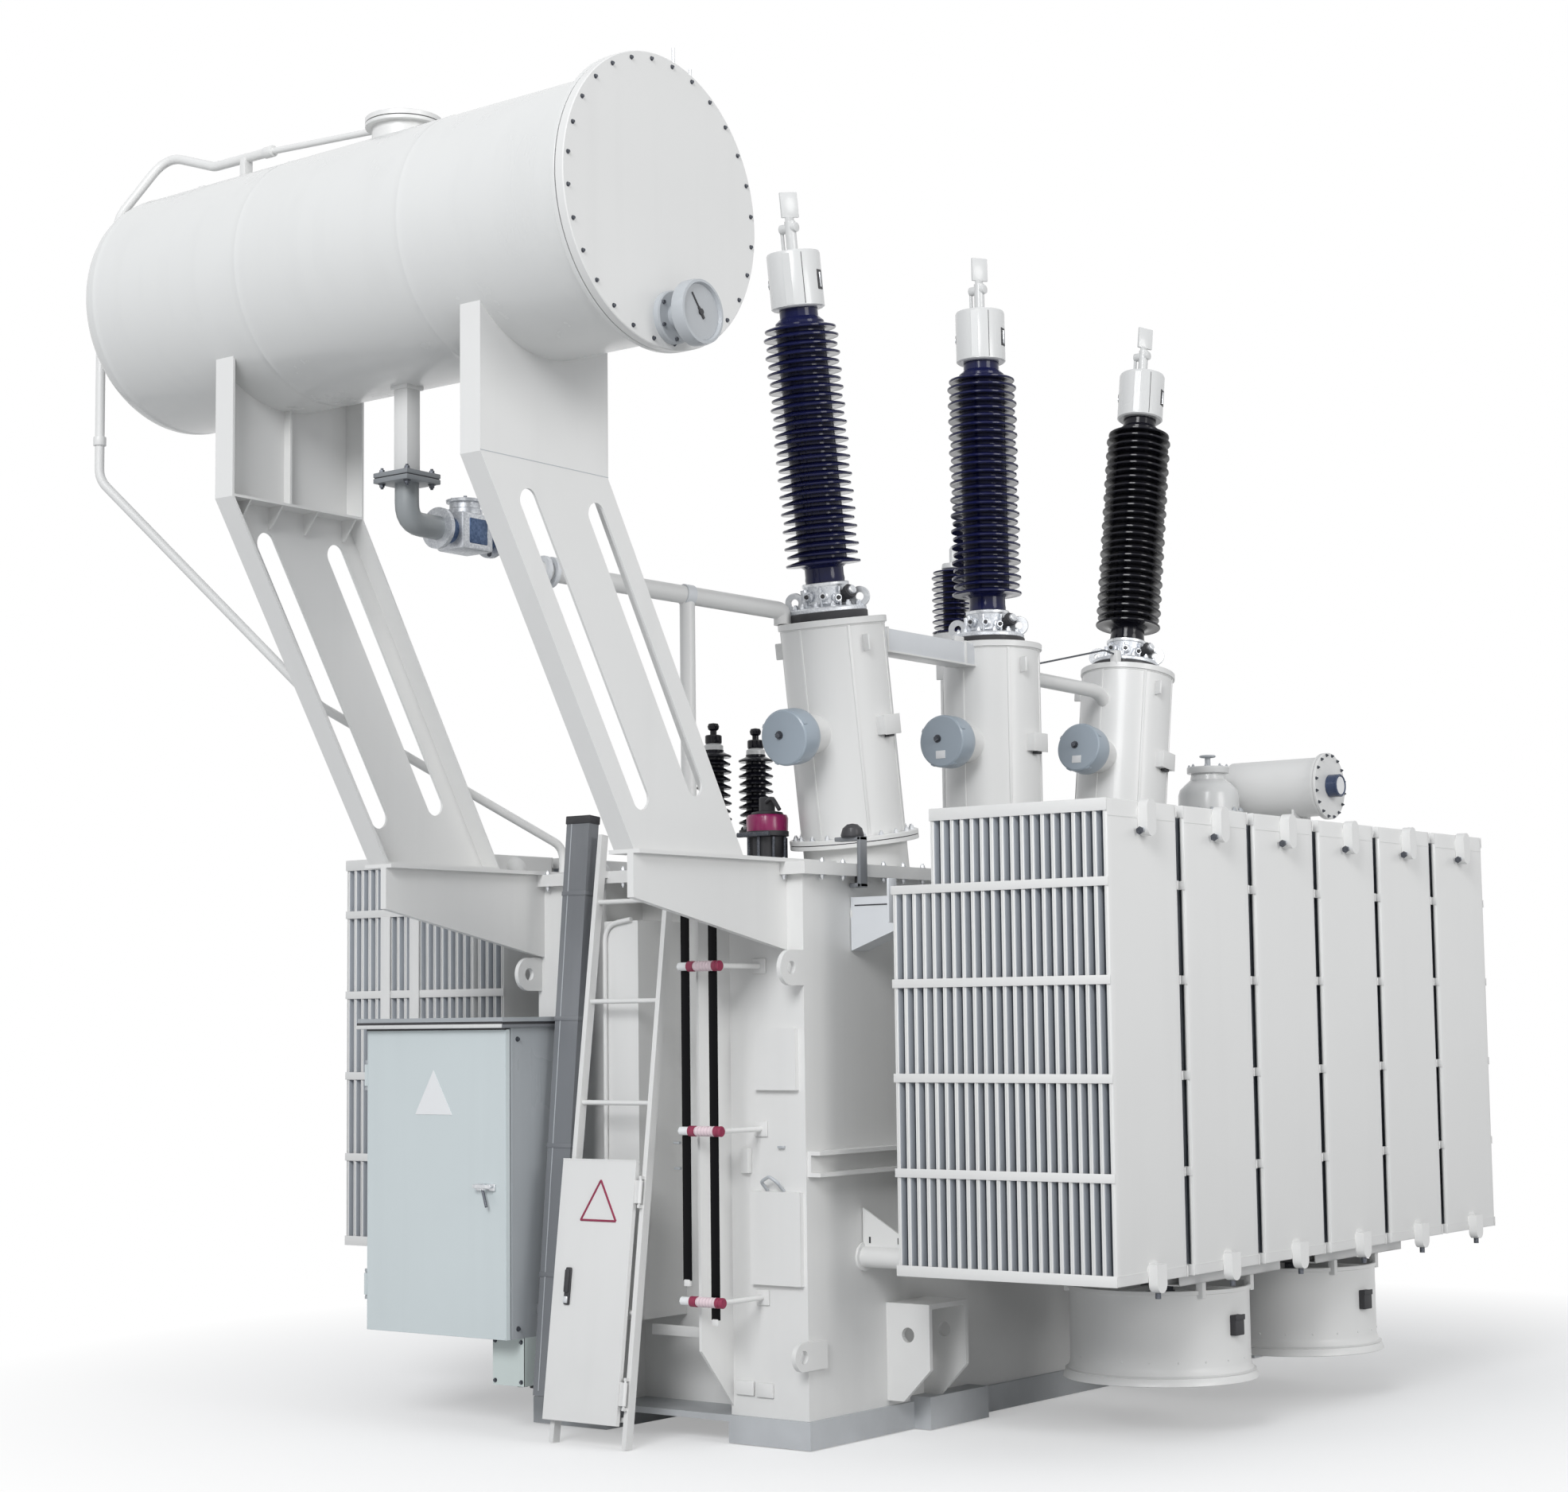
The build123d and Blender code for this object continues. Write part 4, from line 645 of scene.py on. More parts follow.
# %% Oil pipe and gas relay
PIPE_X, RELAY_Z, RELAY_START, RELAY_END = -0.085, 3.555, -3.550, -3.240
feed = bmesh.new()
slab(feed, (PIPE_X - 0.036, DRUM_Y - 0.036, 3.735), (PIPE_X + 0.036, DRUM_Y + 0.036, 4.115), 0, 0.006)
slab(feed, (PIPE_X - 0.045, DRUM_Y - 0.045, 4.062), (PIPE_X + 0.045, DRUM_Y + 0.045, 4.080), 0, 0.003)
slab(feed, (PIPE_X - 0.090, DRUM_Y - 0.090, 3.722), (PIPE_X + 0.090, DRUM_Y + 0.090, 3.740), 1, 0.003)
slab(feed, (PIPE_X - 0.086, DRUM_Y - 0.086, 3.719), (PIPE_X + 0.086, DRUM_Y + 0.086, 3.723), 2)
slab(feed, (PIPE_X - 0.090, DRUM_Y - 0.090, 3.700), (PIPE_X + 0.090, DRUM_Y + 0.090, 3.719), 1, 0.003)
for dx in (-0.066, 0.066):
    for dy in (-0.066, 0.066):
        bolt(feed, on_face((PIPE_X + dx, DRUM_Y + dy, 3.740), (0, 0, 1)), 0.019, 3)
        bolt(feed, on_face((PIPE_X + dx, DRUM_Y + dy, 3.700), (0, 0, -1)), 0.019, 3)
tube(feed, [(PIPE_X, DRUM_Y, 3.705), (PIPE_X, DRUM_Y, RELAY_Z), (PIPE_X, RELAY_START + 0.002, RELAY_Z)],
     0.046, 4, 32, 0.12)
finish_piece("oil_feed", feed, [warm_white, flange_grey, soft_black, dark_bolt, elbow_grey],
             swaps=["oil_downpipe"])

relay = bmesh.new()
relay_axis = on_face((PIPE_X, RELAY_START, RELAY_Z), (0, 1, 0))
span = RELAY_END - RELAY_START
for start in (0.0, span - 0.018):
    turned(relay, [(0, start), (0.080, start), (0.080, start + 0.018), (0, start + 0.018)], relay_axis, 0, 40)
for start in (0.018, span - 0.018):
    bolt_ring(relay, relay_axis @ Matrix.Translation((0, 0, start)), 0.064, 6, 0.015, 2)
turned(relay, [(0, 0.018), (0.050, 0.018), (0.052, 0.060), (0.052, span - 0.060), (0.050, span - 0.018),
               (0, span - 0.018)], relay_axis, 1, 32)
slab(relay, (PIPE_X - 0.072, RELAY_START + 0.070, RELAY_Z - 0.075),
     (PIPE_X + 0.072, RELAY_END - 0.070, RELAY_Z + 0.070), 0, 0.012)
slab(relay, (PIPE_X - 0.076, RELAY_START + 0.105, RELAY_Z - 0.052),
     (PIPE_X + 0.076, RELAY_END - 0.105, RELAY_Z + 0.048), 1, 0.006)
middle_y = (RELAY_START + RELAY_END) / 2
cap_place = Matrix.Translation((PIPE_X, middle_y, RELAY_Z + 0.068))
turned(relay, [(0, 0), (0.068, 0), (0.068, 0.020), (0.060, 0.024), (0.060, 0.046), (0.072, 0.048),
               (0.074, 0.058), (0.066, 0.061), (0, 0.061)], cap_place, 0, 40)
bolt_ring(relay, cap_place @ Matrix.Translation((0, 0, 0.060)), 0.048, 4, 0.013, 2, stud=False)
for side in (-1, 1):
    bar(relay, (PIPE_X + 0.070 * side, middle_y + 0.02, RELAY_Z - 0.01),
        (PIPE_X + 0.075 * side, middle_y + 0.02, RELAY_Z - 0.01), 0.030, 0, 24)
finish_piece("relay", relay, [cast_silver, relay_blue, dark_bolt], swaps=["gas_relay"])

# %% [markdown]
# A sloping pipe carries gas and oil on to the first bushing turret. A post from the lid props it, and a
# pair of bolted flanges joins its two lengths behind the right arm.

# %% Gas pipe
LID_TOP, TURRET_TOP = 2.290, 1.075


def turret_matrix(number, degrees=8.6):
    origin = (0.405, -1.507 + 1.080 * number, LID_TOP)
    return Matrix.Translation(origin) @ Matrix.Rotation(-radians((number - 1) * degrees), 4, "X")


gas = bmesh.new()
gas_foot = turret_matrix(0) @ Vector((-0.150, -0.150, TURRET_TOP))
level_end = Vector((PIPE_X, RELAY_END + 0.160, RELAY_Z - 0.095))
above = gas_foot + Vector((0, 0, 0.060))
tube(gas, [(PIPE_X, RELAY_END, RELAY_Z), (PIPE_X, RELAY_END + 0.080, RELAY_Z), level_end, above, gas_foot],
     0.038, 0, 28, 0.045)
slope = (above - level_end)
for share in (0.075, 0.105):
    spot = level_end + slope * share
    bar(gas, spot, spot + slope.normalized() * 0.016, 0.062, 1, 28)
top = level_end + slope * 0.62
bar(gas, (top.x, top.y, LID_TOP), (top.x, top.y, top.z - 0.01), 0.032, 0, 24)
bar(gas, (top.x, top.y, LID_TOP), (top.x, top.y, 2.302), 0.060, 0, 24)
bar(gas, top - slope.normalized() * 0.022, top + slope.normalized() * 0.022, 0.044, 1, 28)
finish_piece("gas_line", gas, [warm_white, cool_white], swaps=["gas_pipe"])

# %% [markdown]
# Each high voltage lead leaves the tank through a steel turret that holds its current transformers. A
# turret is a turned shell between bolted flanges, with seam straps up its sides, a terminal drum with a
# blue-grey cover that faces the ladder end, and a small junction box. The outer two lean apart.

# %% Turrets
DRUM_SHARE, BOX_SHARE = 0.563, 0.57
for number in range(3):
    place = turret_matrix(number)
    turret = bmesh.new()
    low = 0.118
    turned(turret, [(0, -0.06), (0.222, -0.06), (0.222, low), (0, low)], place, 0, 96)
    turned(turret, [(0, low), (0.273, low), (0.275, low + 0.002), (0.275, low + 0.018), (0, low + 0.018)],
           place, 0, 96)
    turned(turret, [(0, low + 0.018), (0.270, low + 0.018), (0.270, low + 0.022), (0, low + 0.022)], place,
           1, 72)
    turned(turret, [(0, low + 0.022), (0.275, low + 0.022), (0.275, low + 0.038), (0.273, low + 0.040),
                    (0.222, low + 0.040), (0.222, 1.040), (0.2245, 1.042), (0.2245, 1.046), (0.230, 1.047),
                    (0.232, 1.049), (0.232, 1.073), (0.230, TURRET_TOP), (0, TURRET_TOP)], place, 0, 96)
    bolt_ring(turret, place @ Matrix.Translation((0, 0, low + 0.040)), 0.250, 20, 0.018, 2)
    for angle in (-150, -93, -37, 18, 75, 130):
        strap = place @ turn_by(angle)
        slab(turret, (0.2205, -0.006, low + 0.040), (0.2255, 0.006, 1.043), 0, 0.001, strap)
    neck = place @ Matrix.Translation((0, 0, TURRET_TOP * DRUM_SHARE)) @ turn_by(90, "X")
    turned(turret, [(0, 0.10), (0.085, 0.10), (0.085, 0.292), (0.098, 0.294), (0.098, 0.306), (0, 0.306)],
           neck, 0, 48)
    turned(turret, [(0, 0.305), (0.096, 0.305), (0.107, 0.311), (0.1155, 0.326), (0.118, 0.342),
                    (0.118, 0.414), (0.116, 0.421), (0.110, 0.425), (0, 0.425)], neck, 3, 72)
    bolt(turret, neck @ Matrix.Translation((-0.02, 0.012, 0.424)), 0.024, 5, stud=False)
    if number:
        slab(turret, (-0.030, -0.078, 0.424), (0.020, -0.042, 0.427), 4, 0.001, neck)
    for angle in (-118, -62, 28, 152):
        catch = neck @ turn_by(angle)
        slab(turret, (0.114, -0.009, 0.395), (0.121, 0.009, 0.420), 3, 0.002, catch)
    slab(turret, (0.205, -0.055, TURRET_TOP * BOX_SHARE - 0.040),
         (0.256, 0.055, TURRET_TOP * BOX_SHARE + 0.040), 0, 0.004, place)
    slab(turret, (0.255, -0.057, TURRET_TOP * BOX_SHARE - 0.042),
         (0.260, 0.057, TURRET_TOP * BOX_SHARE + 0.042), 0, 0.002, place)
    slab(turret, (0.225, -0.020, TURRET_TOP * BOX_SHARE - 0.052),
         (0.250, 0.020, TURRET_TOP * BOX_SHARE - 0.038), 1, 0.002, place)
    for angle in (-20, 200):
        ear = place @ turn_by(angle)
        slab(turret, (0.215, -0.006, 0.930), (0.262, 0.006, 1.000), 0, 0.004, ear)
    clear = bmesh.ops.bisect_plane(turret, geom=turret.verts[:] + turret.edges[:] + turret.faces[:],
                                   plane_co=(0, 0, 2.2895), plane_no=(0, 0, -1), clear_outer=True)
    bmesh.ops.edgenet_fill(turret, edges=[g for g in clear["geom_cut"] if isinstance(g, bmesh.types.BMEdge)])
    finish_piece(f"turret_shell_{number + 1}", turret, [warm_white, soft_black, bright_zinc, cover_blue,
                                                        dial_white, dark_bolt],
                 swaps=[f"turret_{number + 1}"])

# %% [markdown]
# A bushing carries the high voltage through the turret. Its glazed sheds lengthen the path that leakage
# must creep along. The whole stack is one spun profile: each shed has a sloping top, a rounded lip and
# an undercut. Above it come a spun metal hood and the flag terminal, and below it a cast foot with
# ribs, valves and a lifting eye.

# %% Shed outline
BUSHING_LEANS = (-8.2, -0.7, 9.0)
SHEDS, SHED_START, SHED_END = 28, 0.235, 1.270


def shed_stack(count, start, end, tip, core):
    pitch = (end - start) / count
    points = []
    for shed in range(count):
        z = start + shed * pitch
        reach = tip if shed % 2 == 0 else tip - (tip - core) * 0.14
        points += [(core, z), (core + 0.45 * (reach - core), z + 0.11 * pitch),
                   (reach - 0.003, z + 0.04 * pitch), (reach, z + 0.12 * pitch), (reach, z + 0.28 * pitch),
                   (reach - 0.004, z + 0.36 * pitch), (core + 0.3 * (reach - core), z + 0.60 * pitch),
                   (core, z + 0.74 * pitch)]
    return points + [(core, end)]


print("outline of", SHEDS, "sheds:", len(shed_stack(SHEDS, SHED_START, SHED_END, 0.160, 0.104)), "points")

# %% [markdown]
# Each bushing stands on its own turret, at a lean of its own that is close to the turret's. The loop
# builds the foot, the porcelain, the hood and the terminal about one axis, so nothing has to be turned
# afterwards. The third is glazed darker than the other two.

# %% Bushings
for number in range(3):
    top = turret_matrix(number) @ Vector((0, 0, TURRET_TOP))
    place = Matrix.Translation(top - Vector((0.015, 0,
                                             0))) @ Matrix.Rotation(-radians(BUSHING_LEANS[number]), 4, "X")
    bushing = bmesh.new()
    turned(bushing, [(0, -0.004), (0.166, -0.004), (0.168, 0.004), (0.168, 0.030), (0.164, 0.034),
                     (0, 0.034)], place, 2, 72)
    turned(bushing, [(0, 0.033), (0.163, 0.033), (0.165, 0.036), (0.165, 0.048), (0.160, 0.054),
                     (0.112, 0.058), (0.100, 0.070), (0.094, 0.140), (0.096, 0.146), (0, 0.146)], place, 1,
           72)
    turned(bushing, [(0, 0.145), (0.099, 0.145), (0.100, 0.148), (0.100, 0.158), (0.097, 0.161),
                     (0, 0.161)], place, 4, 64)
    bolt_ring(bushing, place @ Matrix.Translation((0, 0, 0.054)), 0.138, 12, 0.022, 1)
    for rib in range(8):
        web = place @ turn_by(45 * rib + 22)
        slab(bushing, (0.088, -0.005, 0.052), (0.112, 0.005, 0.138), 1, 0.002, web)
    for angle, level in ((-62, 0.100), (-30, 0.090), (-98, 0.104)):
        port = place @ turn_by(angle) @ Matrix.Translation((0.092, 0, level)) @ turn_by(90, "Y")
        turned(bushing, [(0, 0), (0.022, 0), (0.022, 0.016), (0.015, 0.020), (0.015, 0.030), (0, 0.030)],
               port, 1, 20)
        turned(bushing, [(0, 0.029), (0.010, 0.029), (0.008, 0.038), (0, 0.038)], port, 2, 12)
    tap = place @ turn_by(-8) @ Matrix.Translation((0.10, 0, 0.095)) @ turn_by(65, "Y")
    turned(bushing, [(0, -0.02), (0.026, -0.02), (0.026, 0.030), (0.031, 0.032), (0.031, 0.048),
                     (0, 0.050)], tap, 2, 24)
    turned(bushing, [(0, 0.049), (0.020, 0.049), (0.020, 0.062), (0.016, 0.066), (0, 0.066)], tap, 4, 20)
    for angle in (20, 196):
        eye = place @ turn_by(angle) @ Matrix.Translation((0.146, 0, 0.088)) @ turn_by(90, "X")
        turned(bushing, [(0.018, -0.006), (0.042, -0.006), (0.044, -0.003), (0.044, 0.003), (0.042, 0.006),
                         (0.018, 0.006), (0.018, -0.006)], eye, 4, 32)
        slab(bushing, (-0.012, -0.042, -0.005), (0.012, -0.020, 0.005), 4, 0.001, eye)
    core = 0.104
    profile = [(0, 0.160), (0.083, 0.160), (0.085, 0.175), (0.083, 0.190), (0.083, 0.222), (0.096, 0.232)]
    profile += shed_stack(SHEDS, SHED_START, SHED_END, 0.160, core)
    profile += [(0.082, 1.290), (0.082, 1.334), (0, 1.334)]
    turned(bushing, profile, place, 0, 56)
    turned(bushing, [(0, 1.326), (0.106, 1.326), (0.114, 1.332), (0.114, 1.556), (0.110, 1.565),
                     (0.104, 1.560), (0.101, 1.548), (0, 1.548)], place, 3, 64)
    # Each slot is a raised black plate with a zinc strip in it: the black paints the shade inside the slot.
    for angle, width, low, high in ((10, 0.020, 1.395, 1.480), (-150, 0.012, 1.420, 1.460)):
        slot_place = place @ turn_by(angle)
        slab(bushing, (0.108, -width, low), (0.1155, width, high), 2, 0.003, slot_place)
        slab(bushing, (0.109, -width * 0.25, low + 0.01), (0.1185, width * 0.25, high - 0.012), 4, 0.001,
             slot_place)
    # The thin black strip paints the shade in a fold's crease; the other folds keep the hood's white.
    for angle, width, look in ((-37, 0.0012, 2), (-70, 0.016, 3), (60, 0.007, 3), (150, 0.007, 3)):
        fold = place @ turn_by(angle)
        slab(bushing, (0.1115, -width, 1.336), (0.1150, width, 1.552), look, 0, fold)
    bar(bushing, place @ Vector((0, 0, 1.54)), place @ Vector((0, 0, 1.70)), 0.024, 3, 24)
    turned(bushing, [(0, 1.546), (0.036, 1.546), (0.036, 1.560), (0, 1.562)], place, 4, 6)
    boss = place @ Matrix.Translation((0, 0, 1.672))
    bar(bushing, boss @ Vector((-0.050, 0, 0)), boss @ Vector((0.034, 0, 0)), 0.021, 3, 24, edge=0.003)
    bar(bushing, boss @ Vector((-0.046, 0, -0.120)), boss @ Vector((-0.046, 0, 0)), 0.008, 3, 12)
    slab(bushing, (-0.011, -0.020, 1.690), (0.011, 0.020, 1.720), 3, 0.003, place)
    flag = place @ turn_by(-30)
    slab(bushing, (-0.007, -0.036, 1.716), (0.007, 0.044, 1.824), 3, 0.003, flag)
    finish_piece(f"bushing_{number + 1}_body", bushing, [black_glaze if number == 2 else navy_glaze,
                                                         cast_silver, soft_black, cap_white, bright_zinc],
                 swaps=[f"bushing_{number + 1}"])

# %% [markdown]
# The turrets are joined, so that gas from each one reaches the relay: a square duct between the first
# two, and a bent pipe with a thin wire above it between the last two. Each is measured from the turrets
# that it joins, so it still meets them when their lean changes.

# %% Links between the turrets
links = bmesh.new()
start, end = turret_matrix(0) @ Vector((0, 0, 1.016)), turret_matrix(1) @ Vector((0, 0, 1.016))
level = (start.z + end.z) / 2
slab(links, (0.355, start.y + 0.205, level - 0.050), (0.455, end.y - 0.212, level + 0.050), 2, 0.004)
slab(links, (0.349, start.y + 0.205, level - 0.054), (0.461, end.y - 0.214, level - 0.046), 0, 0.001)
slab(links, (0.395, end.y - 0.300, level + 0.045), (0.407, end.y - 0.226, level + 0.085), 0, 0.004)
for y in (start.y + 0.32, end.y - 0.30):
    slab(links, (0.347, y, level - 0.056), (0.463, y + 0.012, level + 0.056), 0, 0.002)
near, far = turret_matrix(1) @ Vector((0, 0, 0.903)), turret_matrix(2) @ Vector((0, 0, 0.903))
rise = Vector((0, 0.277, 0.055))
tube(links, [near + Vector((0, 0.19, 0)), near + rise, far + Vector((0, -0.277, 0.055)),
             far - Vector((0, 0.19, 0))], 0.034, 0, 28, 0.16)
wire_start = turret_matrix(1) @ Vector((0.05, 0.225, 1.00))
wire_end = turret_matrix(2) @ Vector((0.05, -0.20, 1.115))
tube(links, [wire_start, wire_start.lerp(wire_end, 0.86) + Vector((0, 0, 0.03)), wire_end], 0.0045, 1, 10,
     0.05)
slab(links, (0.435, wire_end.y - 0.030, wire_end.z - 0.055),
     (0.475, wire_end.y + 0.012, wire_end.z + 0.020), 0, 0.004)
finish_piece("turret_links", links, [warm_white, dark_bolt, cool_white],
             swaps=["turret_link_1", "turret_link_2"])

# %% [markdown]
# The smaller devices on the lid stand behind the arms: the neutral bushing, two low voltage bushings, the
# pressure relief device in its magenta cap, and the tap changer with its own little oil vessel.

# %% Neutral and low voltage bushings
neutral = bmesh.new()
place = Matrix.Translation((-0.245, 0.250, 0))
turned(neutral, [(0, LID_TOP), (0.073, LID_TOP), (0.075, 2.292), (0.075, 3.505), (0, 3.505)], place, 1, 48)
turned(neutral, [(0, LID_TOP), (0.105, LID_TOP), (0.105, 2.306), (0, 2.306)], place, 1, 48)
turned(neutral, [(0, 3.500), (0.108, 3.500), (0.110, 3.503), (0.110, 3.545), (0.104, 3.550), (0, 3.550)],
       place, 2, 48)
bolt_ring(neutral, place @ Matrix.Translation((0, 0, 3.550)), 0.090, 8, 0.018, 2)
turned(neutral, [(0, 3.545)] + shed_stack(12, 3.552, 3.880, 0.110, 0.055) + [(0, 3.880)], place, 0, 48)
turned(neutral, [(0, 3.876), (0.058, 3.876), (0.060, 3.880), (0.056, 3.902), (0, 3.904)], place, 2, 40)
turned(neutral, [(0, 3.9), (0.020, 3.9), (0.020, 3.975), (0.012, 3.990), (0, 3.990)], place, 2, 24)
finish_piece("neutral_bushing_body", neutral, [navy_glaze, warm_white, cap_white],
             swaps=["neutral_bushing"])

low_voltage = bmesh.new()
for number in range(2):
    place = Matrix.Translation((-0.495, -1.356 + 0.310 * number, 0))
    turned(low_voltage, [(0, LID_TOP), (0.080, LID_TOP), (0.080, 2.310), (0.050, 2.314), (0.044, 2.330),
                         (0.044, 2.500), (0.076, 2.505), (0.080, 2.510), (0.080, 2.532), (0, 2.535)], place,
           1, 40)
    bolt_ring(low_voltage, place @ Matrix.Translation((0, 0, 2.533)), 0.064, 6, 0.016, 1)
    turned(low_voltage, [(0, 2.53), (0.060, 2.534), (0.064, 2.545), (0.060, 2.560), (0, 2.560)], place, 2, 40)
    turned(low_voltage, [(0, 2.556)] + shed_stack(9, 2.560, 2.880, 0.080, 0.046) + [(0, 2.880)], place, 0, 40)
    turned(low_voltage, [(0, 2.878), (0.044, 2.878), (0.044, 2.900), (0.030, 2.912), (0, 2.914)], place, 2,
           32)
    turned(low_voltage, [(0, 2.910), (0.036, 2.910), (0.038, 2.914), (0.038, 2.944), (0.034, 2.948),
                         (0, 2.948)], place, 0, 32)
    turned(low_voltage, [(0, 2.94), (0.015, 2.94), (0.015, 2.968), (0.024, 2.975), (0.027, 2.988),
                         (0.022, 3.000), (0, 3.005)], place, 0, 24)
finish_piece("low_voltage_bodies", low_voltage, [black_glaze, soft_black, cap_white],
             swaps=["low_voltage_bushing_1", "low_voltage_bushing_2"])

# %% [markdown]
# The relief device is a spring valve under a magenta cap, and opens when a fault drives the pressure up.
# The tap changer's head is a tall tapered cover with a bolted rim and a small hand wheel, and beside it
# a small drum on two legs holds its own oil. All three are round, so they are turned like the bushings.

# %% Pressure relief, tap changer and its vessel
relief = bmesh.new()
place = Matrix.Translation((0.085, -1.718, LID_TOP))
turned(relief, [(0, 0), (0.108, 0), (0.110, 0.002), (0.110, 0.026), (0, 0.028)], place, 1, 48)
bolt_ring(relief, place @ Matrix.Translation((0, 0, 0.027)), 0.092, 8, 0.020, 1)
turned(relief, [(0, 0.02), (0.075, 0.02), (0.075, 0.150), (0.092, 0.156), (0.092, 0.176), (0, 0.180)],
       place, 2, 48)
for turn in range(8):
    post = place @ turn_by(45 * turn + 10)
    bar(relief, post @ Vector((0.083, 0, 0.04)), post @ Vector((0.083, 0, 0.150)), 0.007, 1, 10)
turned(relief, [(0, 0.168), (0.080, 0.168), (0.088, 0.176), (0.090, 0.232), (0.084, 0.246), (0, 0.250)],
       place, 0, 48)
turned(relief, [(0, 0.249), (0.070, 0.249), (0.066, 0.258), (0.034, 0.264), (0.034, 0.282), (0.034, 0.318),
                (0.030, 0.324), (0, 0.326)], place, 2, 28)
tube(relief, [place @ Vector((0.02, -0.03, 0.30)), place @ Vector((0.062, -0.045, 0.318)),
              place @ Vector((0.104, -0.05, 0.262))], 0.009, 2, 12, 0.03)
slab(relief, (-0.085, -0.109, 0.150), (0.085, -0.088, 0.170), 1, 0.004, place)
finish_piece("pressure_relief_body", relief, [device_red, dark_bolt, soft_black],
             swaps=["pressure_relief"])

changer = bmesh.new()
place = Matrix.Translation((0.285, 1.830, LID_TOP))
turned(changer, [(0, 0), (0.238, 0), (0.240, 0.002), (0.240, 0.026), (0.238, 0.028), (0, 0.028)], place, 0,
       72)
bolt_ring(changer, place @ Matrix.Translation((0, 0, 0.028)), 0.222, 20, 0.022, 1)
turned(changer, [(0, 0.026), (0.205, 0.026), (0.170, 0.370), (0.165, 0.400), (0, 0.400)], place, 0, 72)
turned(changer, [(0, 0.395), (0.178, 0.395), (0.180, 0.398), (0.180, 0.428), (0.178, 0.430), (0.160, 0.432),
                 (0.158, 0.520), (0.150, 0.548), (0.118, 0.580), (0.094, 0.600), (0.088, 0.632),
                 (0.108, 0.634), (0.110, 0.638), (0.110, 0.664), (0.107, 0.668), (0, 0.668)], place, 0, 72)
bolt_ring(changer, place @ Matrix.Translation((0, 0, 0.668)), 0.098, 8, 0.013, 1)
bolt_ring(changer, place @ Matrix.Translation((0, 0, 0.430)), 0.170, 16, 0.018, 1)
turned(changer, [(0, 0.66), (0.015, 0.66), (0.015, 0.722), (0, 0.722)], place, 1, 24)
for turn in range(3):
    spoke = place @ turn_by(120 * turn)
    bar(changer, spoke @ Vector((0, 0, 0.722)), spoke @ Vector((0.036, 0, 0.722)), 0.005, 1, 10)
rim = [place @ Vector((0.038 * cos(radians(30 * turn)), 0.038 * sin(radians(30 * turn)),
                       0.725)) for turn in range(13)]
tube(changer, rim, 0.006, 1, 10, 0.01)
finish_piece("tap_changer_body", changer, [cap_white, pipe_grey], swaps=["tap_changer_head"])

vessel = bmesh.new()
axis = on_face((0, 2.200, 2.850), (1, 0, 0))
turned(vessel, [(0, 0.245), (0.150, 0.246), (0.155, 0.252), (0.155, 0.771), (0.174, 0.772), (0.175, 0.786),
                (0, 0.786)], axis, 0, 96)
turned(vessel, [(0, 0.788), (0.175, 0.788), (0.175, 0.801), (0.173, 0.803), (0, 0.803)], axis, 0, 96)
bolt_ring(vessel, axis @ Matrix.Translation((0, 0, 0.803)), 0.163, 16, 0.012, 2)
turned(vessel, [(0, 0.803), (0.058, 0.803), (0.060, 0.806), (0.060, 0.864), (0.054, 0.868), (0.050, 0.862),
                (0, 0.862)], axis, 1, 48)
turned(vessel, [(0, 0.861), (0.046, 0.861), (0.046, 0.8635), (0, 0.8635)], axis, 3, 40)
for start in (0.285, 0.625):
    slab(vessel, (start, 2.100, LID_TOP), (start + 0.012, 2.300, 2.760), 0, 0.002)
    slab(vessel, (start - 0.010, 2.090, LID_TOP), (start + 0.050, 2.310, 2.302), 0, 0.002)
    slab(vessel, (start, 2.194, 2.300), (start + 0.040, 2.206, 2.730), 0, 0.002)
finish_piece("small_conservator_body", vessel, [warm_white, dial_blue, dark_bolt, dial_white],
             swaps=["small_conservator"])

# %% [markdown]
# A radiator is a stack of pressed panels between two header pipes, held apart by flat ties. Twelve of them
# line the tank, so the mesh is made once for each side and then copied along the bank. Little light reaches
# deep between the panels, so the shade there is painted on: each inner flank is cut parallel to its edge, a
# strip next to the edge gets a lighter painted shade, and the part further in gets a darker painted shade.

# %% Radiator shape
PANELS, PANEL_STEP, PANEL_THICK, PANEL_HALF = 22, 0.0456, 0.020, 0.260
PANEL_LOW, PANEL_HIGH, PANEL_SHORT, SHORT_COUNT = 0.675, 2.475, 2.160, 4
BANK_END = (PANELS - 1) * PANEL_STEP + PANEL_THICK
TIE_LEVELS = (1.053, 1.418, 1.783, 2.148)
LIGHTER_SHADE_WIDTH = 0.034


def gusset(mesh, low, high, near_x, lip, look=0):
    """A plate with one sloped edge: its top corner at near_x is pulled down to the lip."""
    for vert in slab(mesh, low, high, look):
        if abs(vert.co.x - near_x) < 1e-4 and abs(vert.co.z - high[2]) < 1e-4:
            vert.co.z = low[2] + lip


